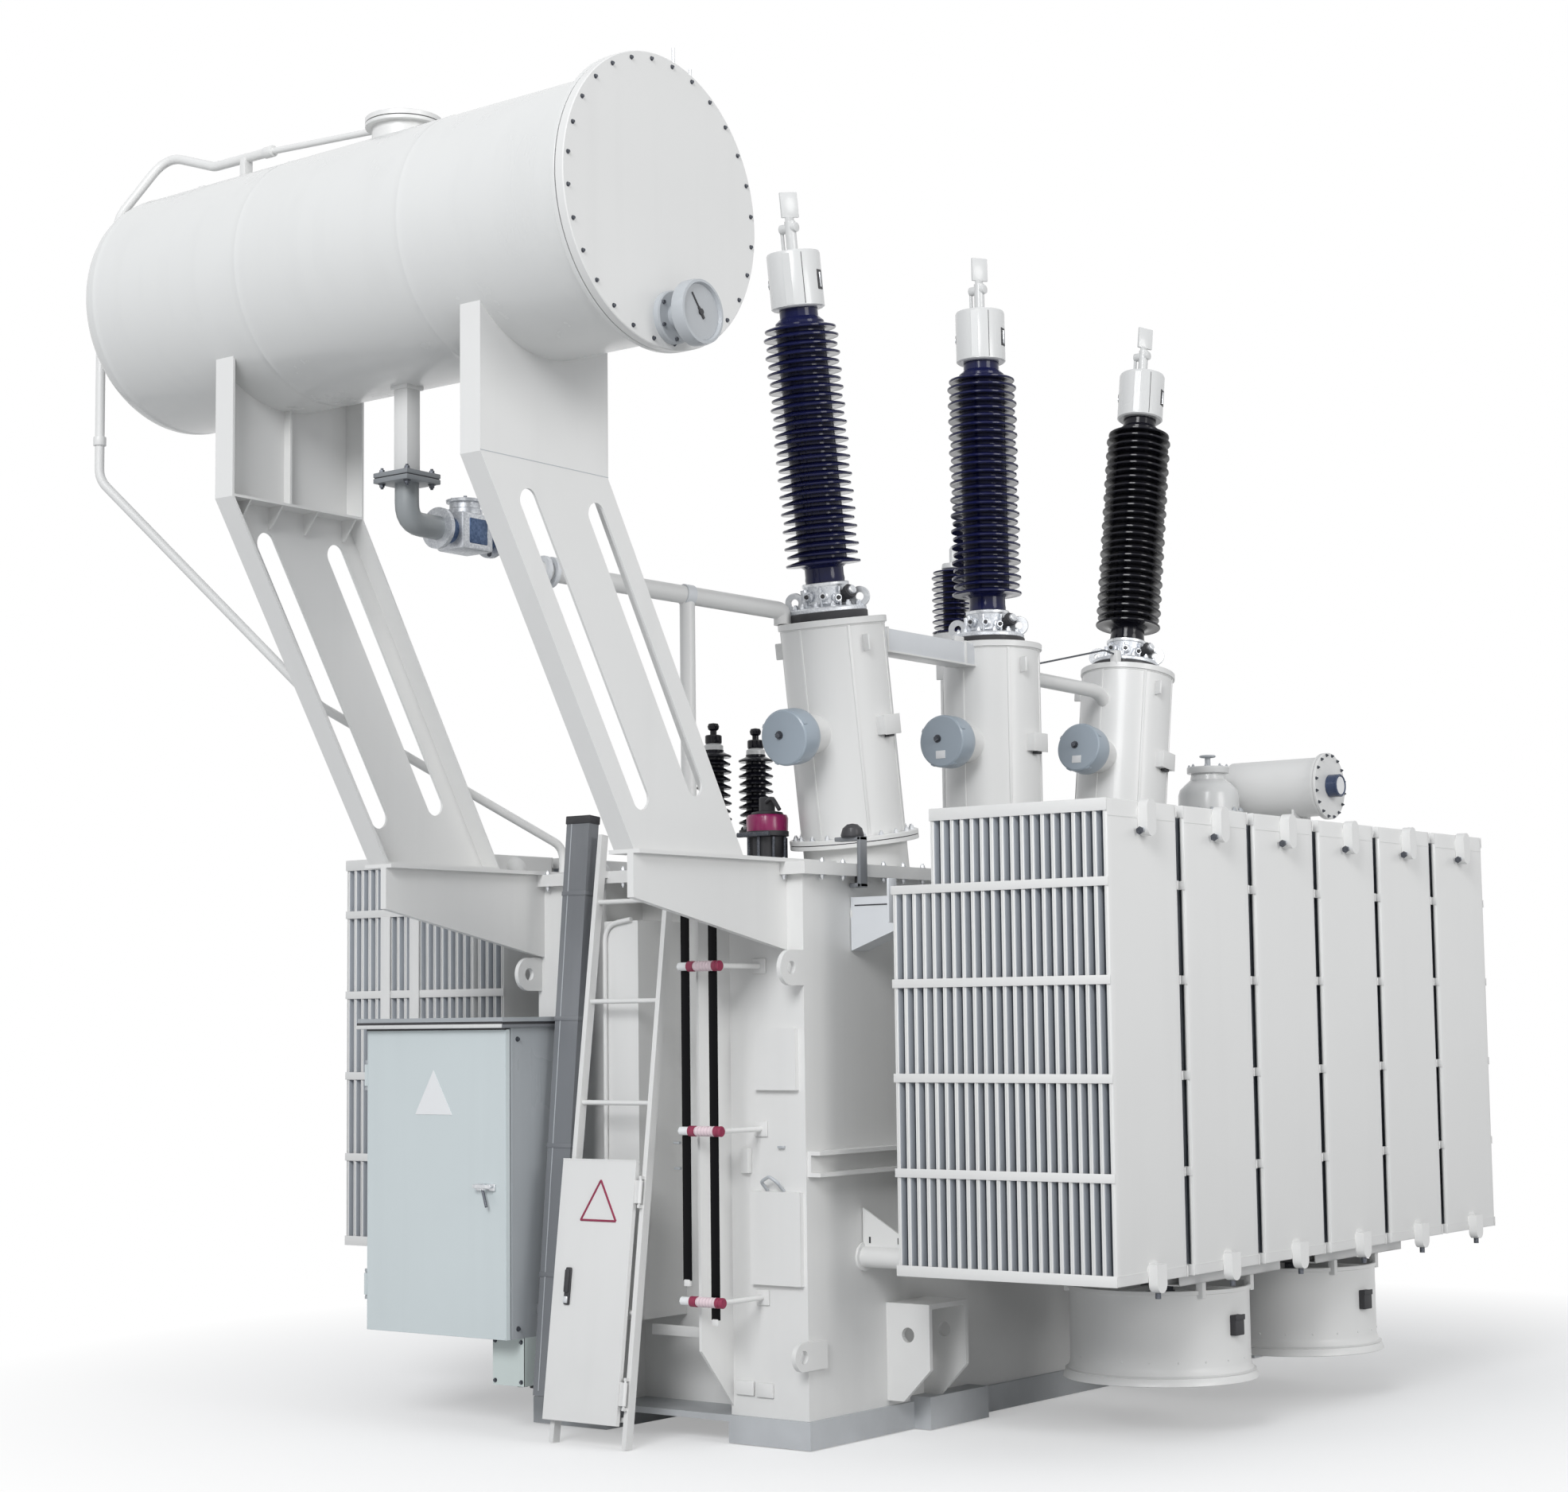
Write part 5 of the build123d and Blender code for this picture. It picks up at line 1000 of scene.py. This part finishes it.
def radiator_mesh(name, gap, drop):
    mesh = bmesh.new()
    high, start = PANEL_HIGH - drop, SHORT_COUNT * PANEL_STEP
    for number in range(PANELS):
        x = number * PANEL_STEP
        top = PANEL_SHORT if number < SHORT_COUNT else high
        slab(mesh, (x, -PANEL_HALF, PANEL_LOW), (x + PANEL_THICK, PANEL_HALF, top), 0, 0.006)
        for side in (-1, 1):
            slab(mesh, (x + 0.0085, side * (PANEL_HALF - 0.002), PANEL_LOW + 0.006),
                 (x + 0.0115, side * (PANEL_HALF + 0.004), top - 0.006), 0)
    for side in (-1, 1):
        bmesh.ops.bisect_plane(mesh, geom=mesh.verts[:] + mesh.edges[:] + mesh.faces[:],
                               plane_co=(0, side * (PANEL_HALF - LIGHTER_SHADE_WIDTH), 0), plane_no=(0, 1, 0))
    # Inner flanks get painted shade: a lighter grey on the strip next to the edge, a darker grey further in.
    for face in mesh.faces:
        face.normal_update()
        middle = face.calc_center_median()
        outermost = middle.x > BANK_END - 0.001 or middle.x < 0.001 or abs(middle.x - start) < 0.001
        if abs(face.normal.x) > 0.9 and abs(middle.y) < PANEL_HALF and not outermost:
            face.material_index = 1 if abs(middle.y) < PANEL_HALF - LIGHTER_SHADE_WIDTH else 5
    for side in (-1, 1):
        face = side * (PANEL_HALF + 0.002)
        out = side * (PANEL_HALF + 0.006)
        for level in TIE_LEVELS:
            slab(mesh, (-0.004, face, level), (BANK_END + 0.001, out, level + 0.034), 0, 0.001)
        slab(mesh, (start, face, high - 0.048), (BANK_END + 0.001, out, high), 0, 0.001)
        slab(mesh, (-0.004, face, PANEL_LOW), (BANK_END + 0.001, out, PANEL_LOW + 0.042), 0, 0.001)
    slab(mesh, (BANK_END - 0.002, -PANEL_HALF + 0.004, high - 0.066),
         (BANK_END + 0.0012, PANEL_HALF - 0.004, high - 0.064), 0)
    top_z, low_z, elbow = 2.425 - drop, 0.715, 2.090
    for z, first in ((top_z, start), (low_z, -gap)):
        bar(mesh, (first, 0, z), (BANK_END + 0.002, 0, z), 0.042, 0, 40)
    tube(mesh, [(-gap, 0, elbow), (start - 0.023, 0, elbow), (start - 0.023, 0, top_z),
                (start + 0.02, 0, top_z)], 0.042, 0, 32, 0.07)
    for z in (elbow, low_z):
        bar(mesh, (-gap, 0, z), (-gap + 0.012, 0, z), 0.058, 0, 32, edge=0.002)
    wall, knee = -gap + 0.004, -gap + 0.27
    gusset(mesh, (wall, -0.005, low_z + 0.036), (knee, 0.005, low_z + 0.195), knee, 0.006)
    # The gusset's two slots are black plates: the black paints the shade inside them.
    for x in (wall + 0.030, wall + 0.170):
        slab(mesh, (x, -0.0065, low_z + 0.055), (x + 0.008, 0.0065, low_z + 0.080), 2)
    for vert in slab(mesh, (wall, -0.056, elbow - 0.150), (-0.068, 0.056, elbow + 0.066), 6):
        if vert.co.x > wall + 0.01 and vert.co.z < elbow:
            vert.co.z = elbow - 0.050
    slab(mesh, (wall + 0.02, -0.058, elbow + 0.030), (-0.09, 0.0, elbow + 0.035), 2)
    slab(mesh, (-0.030, -PANEL_HALF + 0.004, elbow - 0.050), (-0.020, -PANEL_HALF + 0.060, elbow + 0.125),
         6, 0.003)
    tab_x = BANK_END + 0.001
    rounded_tab(mesh, (tab_x, -0.034, top_z - 0.084), (tab_x + 0.042, 0.034, top_z + 0.058), 0.0335)
    bar(mesh, (tab_x + 0.020, -0.030, top_z - 0.060), (tab_x + 0.020, -0.056, top_z - 0.066), 0.010, 3, 12)
    bar(mesh, (tab_x + 0.020, -0.050, top_z - 0.064), (tab_x + 0.020, -0.060, top_z - 0.067), 0.015, 4, 6)
    rounded_tab(mesh, (tab_x, -0.036, low_z - 0.078), (tab_x + 0.038, 0.036, low_z + 0.028), 0.034, 0, low_z)
    bar(mesh, (tab_x + 0.018, 0, low_z - 0.070), (tab_x + 0.018, 0, low_z - 0.100), 0.011, 4, 12)
    slab(mesh, (BANK_END - 0.002, -PANEL_HALF + 0.004, PANEL_LOW + 0.040),
         (BANK_END + 0.0014, PANEL_HALF - 0.004, PANEL_LOW + 0.042), 0)
    data = bpy.data.meshes.new(name)
    mesh.to_mesh(data)
    mesh.free()
    print(f"{name}: {len(data.polygons)} faces")
    return data


right_bank = radiator_mesh("right_bank", 0.353, 0.0)
left_bank = radiator_mesh("left_bank", 0.310, 0.060)

# %% [markdown]
# The bank is now copied six times along each side. Linked copies of one mesh would be lighter, but each
# copy's place has to be in its own mesh, so the mesh itself is moved. The left side is mirrored, and its
# normals are worked out again when the piece is finished.

# %% Radiators along both sides
RADIATOR_FINISHES = [radiator_white, radiator_deep_painted_shade, soft_black, pipe_grey, dark_bolt, flank_edge_painted_shade, cool_white]
for number in range(6):
    y = -1.925 + 0.581 * number
    for side, start, bank in (("right", 1.058, right_bank), ("left", 1.015, left_bank)):
        mesh = bmesh.new()
        mesh.from_mesh(bank)
        bmesh.ops.translate(mesh, vec=(start, y, 0), verts=mesh.verts)
        if side == "left":
            bmesh.ops.scale(mesh, vec=(-1, 1, 1), verts=mesh.verts)
            if number == 0:
                for low in (0.505, 0.687):
                    slab(mesh, (-start - low - 0.058, y - 0.274, 0.675), (-start - low, y - 0.266, 2.150),
                         0, 0.001)
        finish_piece(f"radiator_{side}_{number + 1}_panels", mesh, RADIATOR_FINISHES,
                     swaps=[f"radiator_{side}_{number + 1}"])

# %% [markdown]
# The fans blow up through the radiators. Each sits in a short spun tunnel with a bell mouth and hangs
# from two rails; a dark terminal box is screwed to its wall.

# %% Fans
for side, x in ((1, 1.5596), (-1, -1.5166)):
    for number, y in enumerate((-1.0535, 0.1085)):
        fan = bmesh.new()
        place = Matrix.Translation((x, y, 0))
        turned(fan, [(0.389, 0.212), (0.392, 0.210), (0.395, 0.212), (0.392, 0.226), (0.380, 0.244),
                     (0.369, 0.262), (0.365, 0.280), (0.365, 0.562), (0.371, 0.564), (0.371, 0.578),
                     (0.369, 0.580), (0.359, 0.580), (0.359, 0.276), (0.363, 0.262), (0.375, 0.242),
                     (0.387, 0.224), (0.389, 0.212)], place, 0, 96)
        turned(fan, [(0.366, 0.246), (0.384, 0.240), (0.386, 0.244), (0.368, 0.254)], place, 0, 96)
        hub = [(0, 0.400), (0.060, 0.400), (0.072, 0.410), (0.075, 0.420)]
        for rib in range(6):
            level = 0.430 + rib * 0.022
            hub += [(0.075, level), (0.066, level + 0.004), (0.066, level + 0.014), (0.075, level + 0.018)]
        turned(fan, hub + [(0.075, 0.574), (0.068, 0.579), (0, 0.579)], place, 1, 40)
        for turn in range(4):
            spoke = place @ turn_by(90 * turn)
            slab(fan, (0.070, -0.012, 0.557), (0.361, 0.012, 0.578), 0, 0.002, spoke)
        for turn in range(20):
            rivet = place @ turn_by(18 * turn + 5) @ Matrix.Translation((0.365, 0, 0.300)) @ turn_by(90, "Y")
            turned(fan, [(0, -0.001), (0.005, -0.001), (0.004, 0.002), (0, 0.003)], rivet, 0, 10)
        for offset in (-0.305, 0.305):
            slab(fan, (x + offset - 0.030, y - 0.4205, 0.615), (x + offset + 0.030, y + 0.4205, 0.620), 0,
                 0.001)
            slab(fan, (x + offset - 0.030, y - 0.4205, 0.615), (x + offset - 0.025, y + 0.4205, 0.671), 0,
                 0.001)
            slab(fan, (x + offset + 0.025, y - 0.4205, 0.615), (x + offset + 0.030, y + 0.4205, 0.671), 0,
                 0.001)
            reach = sqrt(0.365 ** 2 - offset ** 2)
            for sign in (-1, 1):
                slab(fan, (x + offset - 0.015, y + sign * reach - 0.015, 0.550),
                     (x + offset + 0.015, y + sign * reach + 0.015, 0.617), 0, 0.002)
                bolt(fan, Matrix.Translation((x + offset, y + sign * reach * 0.8, 0.621)), 0.018, 1)
        box = place @ turn_by(-6 if side > 0 else 186)
        slab(fan, (0.358, -0.030, 0.395), (0.392, 0.030, 0.475), 2, 0.004, box)
        slab(fan, (0.390, -0.032, 0.455), (0.395, 0.032, 0.477), 2, 0.002, box)
        finish_piece(f"fan_{'right' if side > 0 else 'left'}_{number + 1}_body", fan,
                     [radiator_white, dark_bolt, soft_black],
                     swaps=[f"fan_{'right' if side > 0 else 'left'}_{number + 1}"])

# %% [markdown]
# The cabinet door is hinged, so its handle and sign ride on the door's own body and swing with it. The
# sign is left as a plain white triangle. It is a three-sided cone of constant width, which is quicker
# than drawing a prism corner by corner.

# %% Fittings on the cabinet door
DOOR_Y = -2.730
door = bmesh.new()
sign = on_face((-0.905, DOOR_Y, 1.352), (0, -1, 0))
verts = bmesh.ops.create_cone(door, cap_ends=True, segments=3, radius1=0.122, radius2=0.122, depth=0.004,
                              matrix=sign)["verts"]
mark(verts, 1)
slab(door, (-0.660, DOOR_Y - 0.010, 0.985), (-0.552, DOOR_Y, 1.015), 2, 0.004)
turned(door, [(0, 0), (0.017, 0), (0.017, 0.016), (0.012, 0.022), (0, 0.022)],
       on_face((-0.606, DOOR_Y - 0.008, 1.0), (0, -1, 0)), 2, 28)
slab(door, (-0.656, DOOR_Y - 0.034, 0.996), (-0.556, DOOR_Y - 0.022, 1.012), 2, 0.004)
bar(door, (-0.606, DOOR_Y - 0.024, 0.995), (-0.578, DOOR_Y - 0.030, 0.922), 0.006, 3, 12)
for x in (-1.293, -0.503):
    slab(door, (x, DOOR_Y - 0.0015, 0.394), (x + 0.004, DOOR_Y, 1.636), 0)
for z in (0.391, 1.635):
    slab(door, (-1.293, DOOR_Y - 0.0015, z), (-0.499, DOOR_Y, z + 0.004), 0)
finish_piece("door_fittings", door, [door_grey, dial_white, bright_zinc, dark_bolt],
             body="cabinet_door")

# %% [markdown]
# The cabinet's roof has a pale front lip with thin black strips on top, and a black strip under it paints the
# shadow that the roof casts below its edge. Its side shows a grip, flat seams and screws, and the pale green
# box below it has a cover plate. These stay on the cabinet when its door opens, so they ride on the main
# body.

# %% Cabinet trim
trim = bmesh.new()
ROOF_Z = 1.646
slab(trim, (-1.331, -2.766, ROOF_Z + 0.001), (-0.486, -2.757, ROOF_Z + 0.017), 4, 0.0035)
slab(trim, (-0.489, -2.764, ROOF_Z + 0.001), (-0.4835, -2.352, ROOF_Z + 0.015), 5, 0.001)
slab(trim, (-1.331, -2.764, ROOF_Z + 0.001), (-1.3265, -2.352, ROOF_Z + 0.015), 5, 0.002)
slab(trim, (-1.328, -2.7625, ROOF_Z + 0.017), (-0.488, -2.757, ROOF_Z + 0.027), 0, 0.001)
slab(trim, (-0.489, -2.760, ROOF_Z + 0.015), (-0.4845, -2.354, ROOF_Z + 0.026), 0, 0.001)
# Painted shadow: a black strip under the roof's edge.
slab(trim, (-1.300, -2.7315, ROOF_Z - 0.008), (-0.495, -2.7280, ROOF_Z + 0.002), 0)
slab(trim, (-0.4975, -2.696, 0.400), (-0.4955, -2.684, 1.636), 3)
slab(trim, (-0.4975, -2.372, 0.400), (-0.4950, -2.358, 1.636), 3)
grip = on_face((-0.497, -2.470, 0.640), (1, 0, 0))
slab(trim, (-0.014, -0.060, 0), (0.014, 0.060, 0.006), 0, 0.003, grip)
bar(trim, grip @ Vector((0, -0.052, 0.012)), grip @ Vector((0, 0.052, 0.012)), 0.010, 0, 16, edge=0.003)
for z in (0.43, 1.60):
    for y in (-2.66, -2.38):
        bolt(trim, on_face((-0.497, y, z), (1, 0, 0)), 0.014, 2, stud=False)
slab(trim, (-0.669, -2.626, 0.194), (-0.497, -2.622, 0.390), 1)
for x in (-0.655, -0.511):
    for z in (0.212, 0.372):
        bolt(trim, on_face((x, -2.626, z), (0, -1, 0)), 0.012, 2, stud=False)
for x in (-0.62, -0.55):
    turned(trim, [(0, 0), (0.022, 0), (0.022, 0.014), (0.016, 0.020), (0, 0.020)],
           Matrix.Translation((x, -2.50, 0.174)), 0, 16)
finish_piece("cabinet_trim", trim, [soft_black, pale_green, dark_bolt, cabinet_painted_shade_grey, cap_white, dark_grey_and_shade])

# %% [markdown]
# The ladder leans against the tank, and its guard leans with it. A small function turns a position
# across the guard and along its slope into a point in space, so that the sign and the handle lie flat on
# the sheet. The red triangle is three bars that overlap at its corners.

# %% Guard sign and handle
lean = Vector((0, 0.320, 2.440)).normalized()
out = Vector((0, -lean.z, lean.y))
rail_foot = Vector((0, -2.680, 0))


def guard_point(x, along):
    """A point on the guard's outer face, at a height along its own slope."""
    return rail_foot + lean * along + out * 0.049 + Vector((x, 0, 0))


guard = bmesh.new()
corners = [guard_point(-0.195, 0.876), guard_point(-0.010, 0.876), guard_point(-0.104, 1.036)]
for first, second in zip(corners, corners[1:] + corners[:1]):
    bar(guard, first, second, 0.0048, 0, 8)
place = on_face(guard_point(-0.232, 0.612), out)
slab(guard, (-0.015, -0.074, 0), (0.015, 0.074, 0.010), 1, 0.005, place)
slab(guard, (-0.011, -0.026, 0.008), (0.011, 0.066, 0.020), 1, 0.005, place)
slab(guard, (-0.010, -0.068, 0.008), (0.010, -0.040, 0.018), 2, 0.004, place)
for low, high in (((-0.3145, 0.0872), (0.0728, 0.0912)), ((-0.3145, 1.115), (0.0728, 1.119))):
    slab(guard, (low[0], -0.0505, low[1]), (high[0], -0.0485, high[1]), 3, 0, leaning_place(rail_foot, lean))
finish_piece("guard_fittings", guard, [sign_red, soft_black, bright_zinc, warm_white],
             body="ladder_guard")

# %% [markdown]
# Two black bars lead down the end wall to earth. Rods hold them off the tank, each with a ribbed pink
# resin insulator between magenta ends. The insulator is one spun outline with six ribs, because a
# row of separate rings would show gaps between them.

# %% Earthing bars with their insulators
bars = bmesh.new()
for x, low in ((0.305, 0.652), (0.445, 0.506)):
    slab(bars, (x - 0.020, -2.554, low), (x + 0.020, -2.546, 2.180), 0, 0.0015)
    slab(bars, (x - 0.014, -2.557, low - 0.022), (x + 0.014, -2.543, low + 0.004), 3, 0.002)
finish_piece("earthing_bars", bars, [bar_black, resin_pink, sign_red, warm_white],
             swaps=["earthing_bar_left", "earthing_bar_right"])
supports = bmesh.new()
for level in (0.575, 1.235, 1.880):
    axis = on_face((0, -2.573, level), (1, 0, 0))
    turned(supports, [(0, 0.290), (0.013, 0.290), (0.017, 0.295), (0.017, 0.342), (0, 0.342)], axis, 3, 28)
    turned(supports, [(0, 0.340), (0.021, 0.342), (0.021, 0.372), (0, 0.374)], axis, 2, 28)
    ribs = [(0, 0.373), (0.0175, 0.373)]
    for rib in range(6):
        x = 0.377 + rib * 0.0155
        ribs += [(0.0175, x), (0.0205, x + 0.004), (0.0205, x + 0.008), (0.0175, x + 0.012)]
    turned(supports, ribs + [(0.0175, 0.470), (0, 0.470)], axis, 1, 28)
    turned(supports, [(0, 0.469), (0.021, 0.470), (0.021, 0.482), (0.018, 0.485), (0.018, 0.490),
                      (0.021, 0.493), (0.021, 0.500), (0.017, 0.504), (0, 0.504)], axis, 2, 28)
    bar(supports, (0.487, -2.560, level), (0.487, -2.301, level), 0.0105, 0, 20)
    slab(supports, (0.455, -2.310, level - 0.030), (0.519, -2.3005, level + 0.030), 0, 0.003)
finish_piece("bar_insulators", supports, [warm_white, resin_pink, sign_red, dial_white],
             swaps=["bar_support_1", "bar_support_2", "bar_support_3"])

# %% [markdown]
# The arms carry the drum, and small ribs stiffen their bend under the knee. Each rib starts as a slab,
# and one of its corners is then pushed back to make the slope. A thin dark line marks the weld at the
# knee of the other arm.

# %% Arm ribs
ARM_WEB, KNEE_Z = -0.758, 3.680
arm_ribs = bmesh.new()
for y in (-3.955, -3.792, -3.607, -3.400):
    rib = slab(arm_ribs, (ARM_WEB - 0.001, y - 0.004, KNEE_Z - 0.085),
               (ARM_WEB + 0.080, y + 0.004, KNEE_Z + 0.001))
    for vert in rib:
        if vert.co.z < KNEE_Z - 0.05 and vert.co.x > ARM_WEB + 0.05:
            vert.co.x = ARM_WEB + 0.012
slab(arm_ribs, (0.6245, -4.058, KNEE_Z + 0.0035), (0.6256, -3.368, KNEE_Z + 0.0065), 1)
finish_piece("arm_ribs", arm_ribs, [warm_white, pipe_grey])

# %% [markdown]
# The cables come down in a dark grey sheet duct behind the ladder, closed by a black cap and held by straps;
# part of its darkness is painted shade. It leans like the ladder does, so its trim is drawn upright and then
# placed with the slope.

# %% Duct trim
duct = bmesh.new()
duct_lean = Vector((0, 0.225, 2.360)).normalized()
duct_place = leaning_place((0, -2.585, 0.160), duct_lean)
length = Vector((0, 0.225, 2.360)).length
slab(duct, (-0.463, -0.034, length - 0.030), (-0.329, 0.034, length + 0.004), 1, 0.003, duct_place)
slab(duct, (-0.432, -0.0315, 0.02), (-0.428, -0.0295, length - 0.03), 2, 0, duct_place)
for share in (0.2, 0.42, 0.64, 0.86):
    slab(duct, (-0.462, -0.033, share * length), (-0.330, 0.033, share * length + 0.018), 0, 0.001,
         duct_place)
finish_piece("duct_trim", duct, [dark_grey_and_shade, soft_black, pipe_grey])

# %% [markdown]
# The end wall has many small fittings: a ledge, a bracket, two bare plates, a handle of bent rod and a
# thin conduit that runs up behind the ladder. They are one piece, because none of them moves.

# %% End wall fittings
wall = bmesh.new()
slab(wall, (-0.090, -2.300, 0.398), (0.318, -2.284, 0.440), 0, 0.002)
slab(wall, (0.397, -2.326, 1.060), (0.436, -2.300, 1.160), 0, 0.003)
tube(wall, [(0.515, -2.303, 0.994), (0.515, -2.345, 1.030), (0.560, -2.352, 1.052), (0.595, -2.345, 1.030),
            (0.595, -2.303, 0.994)], 0.007, 2, 12, 0.02)
for low, high in (((0.350, 0.190), (0.440, 0.245)), ((0.452, 0.187), (0.535, 0.242))):
    slab(wall, (low[0], -2.312, low[1]), (high[0], -2.300, high[1]), 0, 0.002)
for x, z in ((0.043, 1.168), (0.046, 1.065), (0.575, 1.160)):
    slab(wall, (x, -2.316, z), (x + 0.030, -2.300, z + 0.010), 2, 0.002)
tube(wall, [(-0.120, -2.380, 2.085), (-0.262, -2.380, 2.065), (-0.262, -2.380, 1.10)], 0.010, 0, 16, 0.10)
finish_piece("end_wall_fittings", wall, [warm_white, dark_bolt, pipe_grey])

# %% [markdown]
# The lid is bolted to the tank's rim all round, with heads above and nuts below. A clamp near the corner
# holds a small black cap. Rows of bolts would be slow as separate objects, so they share one mesh.

# %% Lid bolts
lid_bolts = bmesh.new()
for side in (-1, 1):
    bolt_row(lid_bolts, (side * 0.728, -2.27, LID_TOP), (side * 0.728, 2.27, LID_TOP), (0, 0, 1), 32, 0.018,
             3)
    bolt_row(lid_bolts, (side * 0.728, -2.27, 2.240), (side * 0.728, 2.27, 2.240), (0, 0, -1), 32, 0.018, 3)
    bolt_row(lid_bolts, (-0.70, side * 2.322, LID_TOP), (0.70, side * 2.322, LID_TOP), (0, 0, 1), 10, 0.018,
             3)
    bolt_row(lid_bolts, (-0.70, side * 2.322, 2.240), (0.70, side * 2.322, 2.240), (0, 0, -1), 10, 0.018, 3)
slab(lid_bolts, (0.752, -1.995, 2.195), (0.770, -1.945, 2.402), 1, 0.004)
slab(lid_bolts, (0.640, -1.995, 2.384), (0.770, -1.945, 2.402), 1, 0.004)
slab(lid_bolts, (0.712, -1.995, 2.195), (0.770, -1.945, 2.213), 1, 0.004)
bar(lid_bolts, (0.735, -1.970, 2.210), (0.735, -1.970, 2.242), 0.010, 2, 12)
turned(lid_bolts, [(0, 2.401), (0.046, 2.401), (0.048, 2.408), (0.040, 2.436), (0.022, 2.452), (0, 2.456)],
       Matrix.Translation((0.716, -1.972, 0)), 2, 36)
finish_piece("lid_bolts", lid_bolts, [dark_bolt, dark_grey_and_shade, soft_black, bright_zinc])

# %% [markdown]
# ## Floor, light and camera
# The floor is a pale slab that carries only the shadow. Further out it blends into plain white, so that
# no horizon shows. The blend counts only for rays that see the floor directly. The light that the floor
# throws back on the machine comes from its own, darker paint.

# %% Floor
stage_mesh = bmesh.new()
slab(stage_mesh, (-60, -60, -0.05), (60, 60, -0.004))
floor_data = bpy.data.meshes.new("floor")
stage_mesh.to_mesh(floor_data)
stage_mesh.free()
floor = bpy.data.objects.new("floor", floor_data)
bpy.context.scene.collection.objects.link(floor)
floor_paint = bpy.data.materials.new("floor_paint")
floor_paint.use_nodes = True
tree = floor_paint.node_tree
matt = tree.nodes["Principled BSDF"]
matt.inputs["Roughness"].default_value = 0.9
direct = add_node(tree, "ShaderNodeLightPath").outputs["Is Camera Ray"]
tree.links.new(blend_colour(tree, direct, (0.52, 0.525, 0.53, 1), (0.92, 0.925, 0.93, 1)),
               matt.inputs["Base Color"])
where = add_node(tree, "ShaderNodeTexCoord").outputs["Object"]
offset = add_node(tree, "ShaderNodeVectorMath", {"operation": "LENGTH"})
tree.links.new(where, offset.inputs[0])
distance = remap(tree, offset.outputs["Value"], 2.4, 5.0, 0.35, 1)
white = add_node(tree, "ShaderNodeEmission", Color=(1, 1, 1, 1), Strength=1.0)


def seen_directly(tree):
    """1 for rays that show the background: straight, off a glossy surface, or through glass."""
    path = tree.nodes.new("ShaderNodeLightPath")
    glossy = maths(tree, "MAXIMUM", path.outputs["Is Camera Ray"], path.outputs["Is Glossy Ray"])
    return maths(tree, "MAXIMUM", glossy, path.outputs["Is Transmission Ray"])


blend = tree.nodes.new("ShaderNodeMixShader")
tree.links.new(maths(tree, "MULTIPLY", distance, seen_directly(tree)), blend.inputs["Fac"])
tree.links.new(matt.outputs["BSDF"], blend.inputs[1])
tree.links.new(white.outputs["Emission"], blend.inputs[2])
tree.links.new(blend.outputs["Shader"], tree.nodes["Material Output"].inputs["Surface"])
floor_data.materials.append(floor_paint)
print("floor:", floor_paint.name)

# %% [markdown]
# A machine in a catalogue has even light with soft shadows. Small lamps near it would burn out the
# drum, which stands closest to them, so the two lamps are large discs far away: a key from the front
# and a weaker fill from the right. A dome of pale sky fills the shadows, and shows white itself.

# %% Light
world = bpy.context.scene.world or bpy.data.worlds.new("overcast")
bpy.context.scene.world = world
world.use_nodes = True
tree = world.node_tree
tree.nodes.clear()
sky = add_node(tree, "ShaderNodeBackground", Color=(0.94, 0.965, 1.0, 1), Strength=0.48)
plain = add_node(tree, "ShaderNodeBackground", Color=(1, 1, 1, 1), Strength=1.0)
mix = tree.nodes.new("ShaderNodeMixShader")
result = tree.nodes.new("ShaderNodeOutputWorld")
tree.links.new(seen_directly(tree), mix.inputs["Fac"])
tree.links.new(sky.outputs["Background"], mix.inputs[1])
tree.links.new(plain.outputs["Background"], mix.inputs[2])
tree.links.new(mix.outputs["Shader"], result.inputs["Surface"])


def area_light(name, place, target, size, power, colour):
    data = bpy.data.lights.new(name, "AREA")
    data.shape = "DISK"
    data.size = size
    data.energy = power
    data.color = colour
    lamp = bpy.data.objects.new(name, data)
    lamp.location = place
    lamp.rotation_euler = (Vector(target) - Vector(place)).to_track_quat("-Z", "Y").to_euler()
    bpy.context.scene.collection.objects.link(lamp)
    return lamp


key_lamp = area_light("key", (8.0, -24.0, 15.0), (0.2, -1.0, 2.2), 11.0, 4000, (0.985, 0.99, 1.0))
fill_lamp = area_light("fill", (24.0, -4.0, 9.0), (0.5, 0.0, 2.0), 10.0, 1500, (1.0, 0.99, 0.975))
print("lamps:", key_lamp.name, round(key_lamp.location.length, 1), "m off;",
      fill_lamp.name, round(fill_lamp.location.length, 1), "m off")

# %% [markdown]
# The camera stands where the perspective of the photograph puts it: about 13 m off, at a height of
# 1.67 m, turned a little up and with a slight roll. Its three axes are worked out and put into one
# matrix, because that keeps the roll separate from the aim.

# %% Camera
eye = Vector((7.300, -11.099, 1.672))
azimuth, pitch, roll = radians(37.199), radians(5.6038), radians(-0.7035)
ahead = Vector((-sin(azimuth) * cos(pitch), cos(azimuth) * cos(pitch), sin(pitch)))
level_right = Vector((cos(azimuth), sin(azimuth), 0))
upward = level_right.cross(ahead)
right = level_right * cos(roll) + upward * sin(roll)
above = upward * cos(roll) - level_right * sin(roll)
camera_data = bpy.data.cameras.new("camera")
camera_data.sensor_width = 36.0
camera_data.lens = 63.67
camera_data.clip_end = 200
camera = bpy.data.objects.new("camera", camera_data)
camera.matrix_world = Matrix.Translation(eye) @ Matrix((right, above, -ahead)).transposed().to_4x4()
bpy.context.scene.collection.objects.link(camera)
bpy.context.scene.camera = camera
bpy.context.scene.view_settings.view_transform = "Standard"
print("camera:", round(eye.length, 2), "m from the middle of the base, lens", camera_data.lens, "mm")

# %% [markdown]
# The dressed machine should be no larger than its solids.
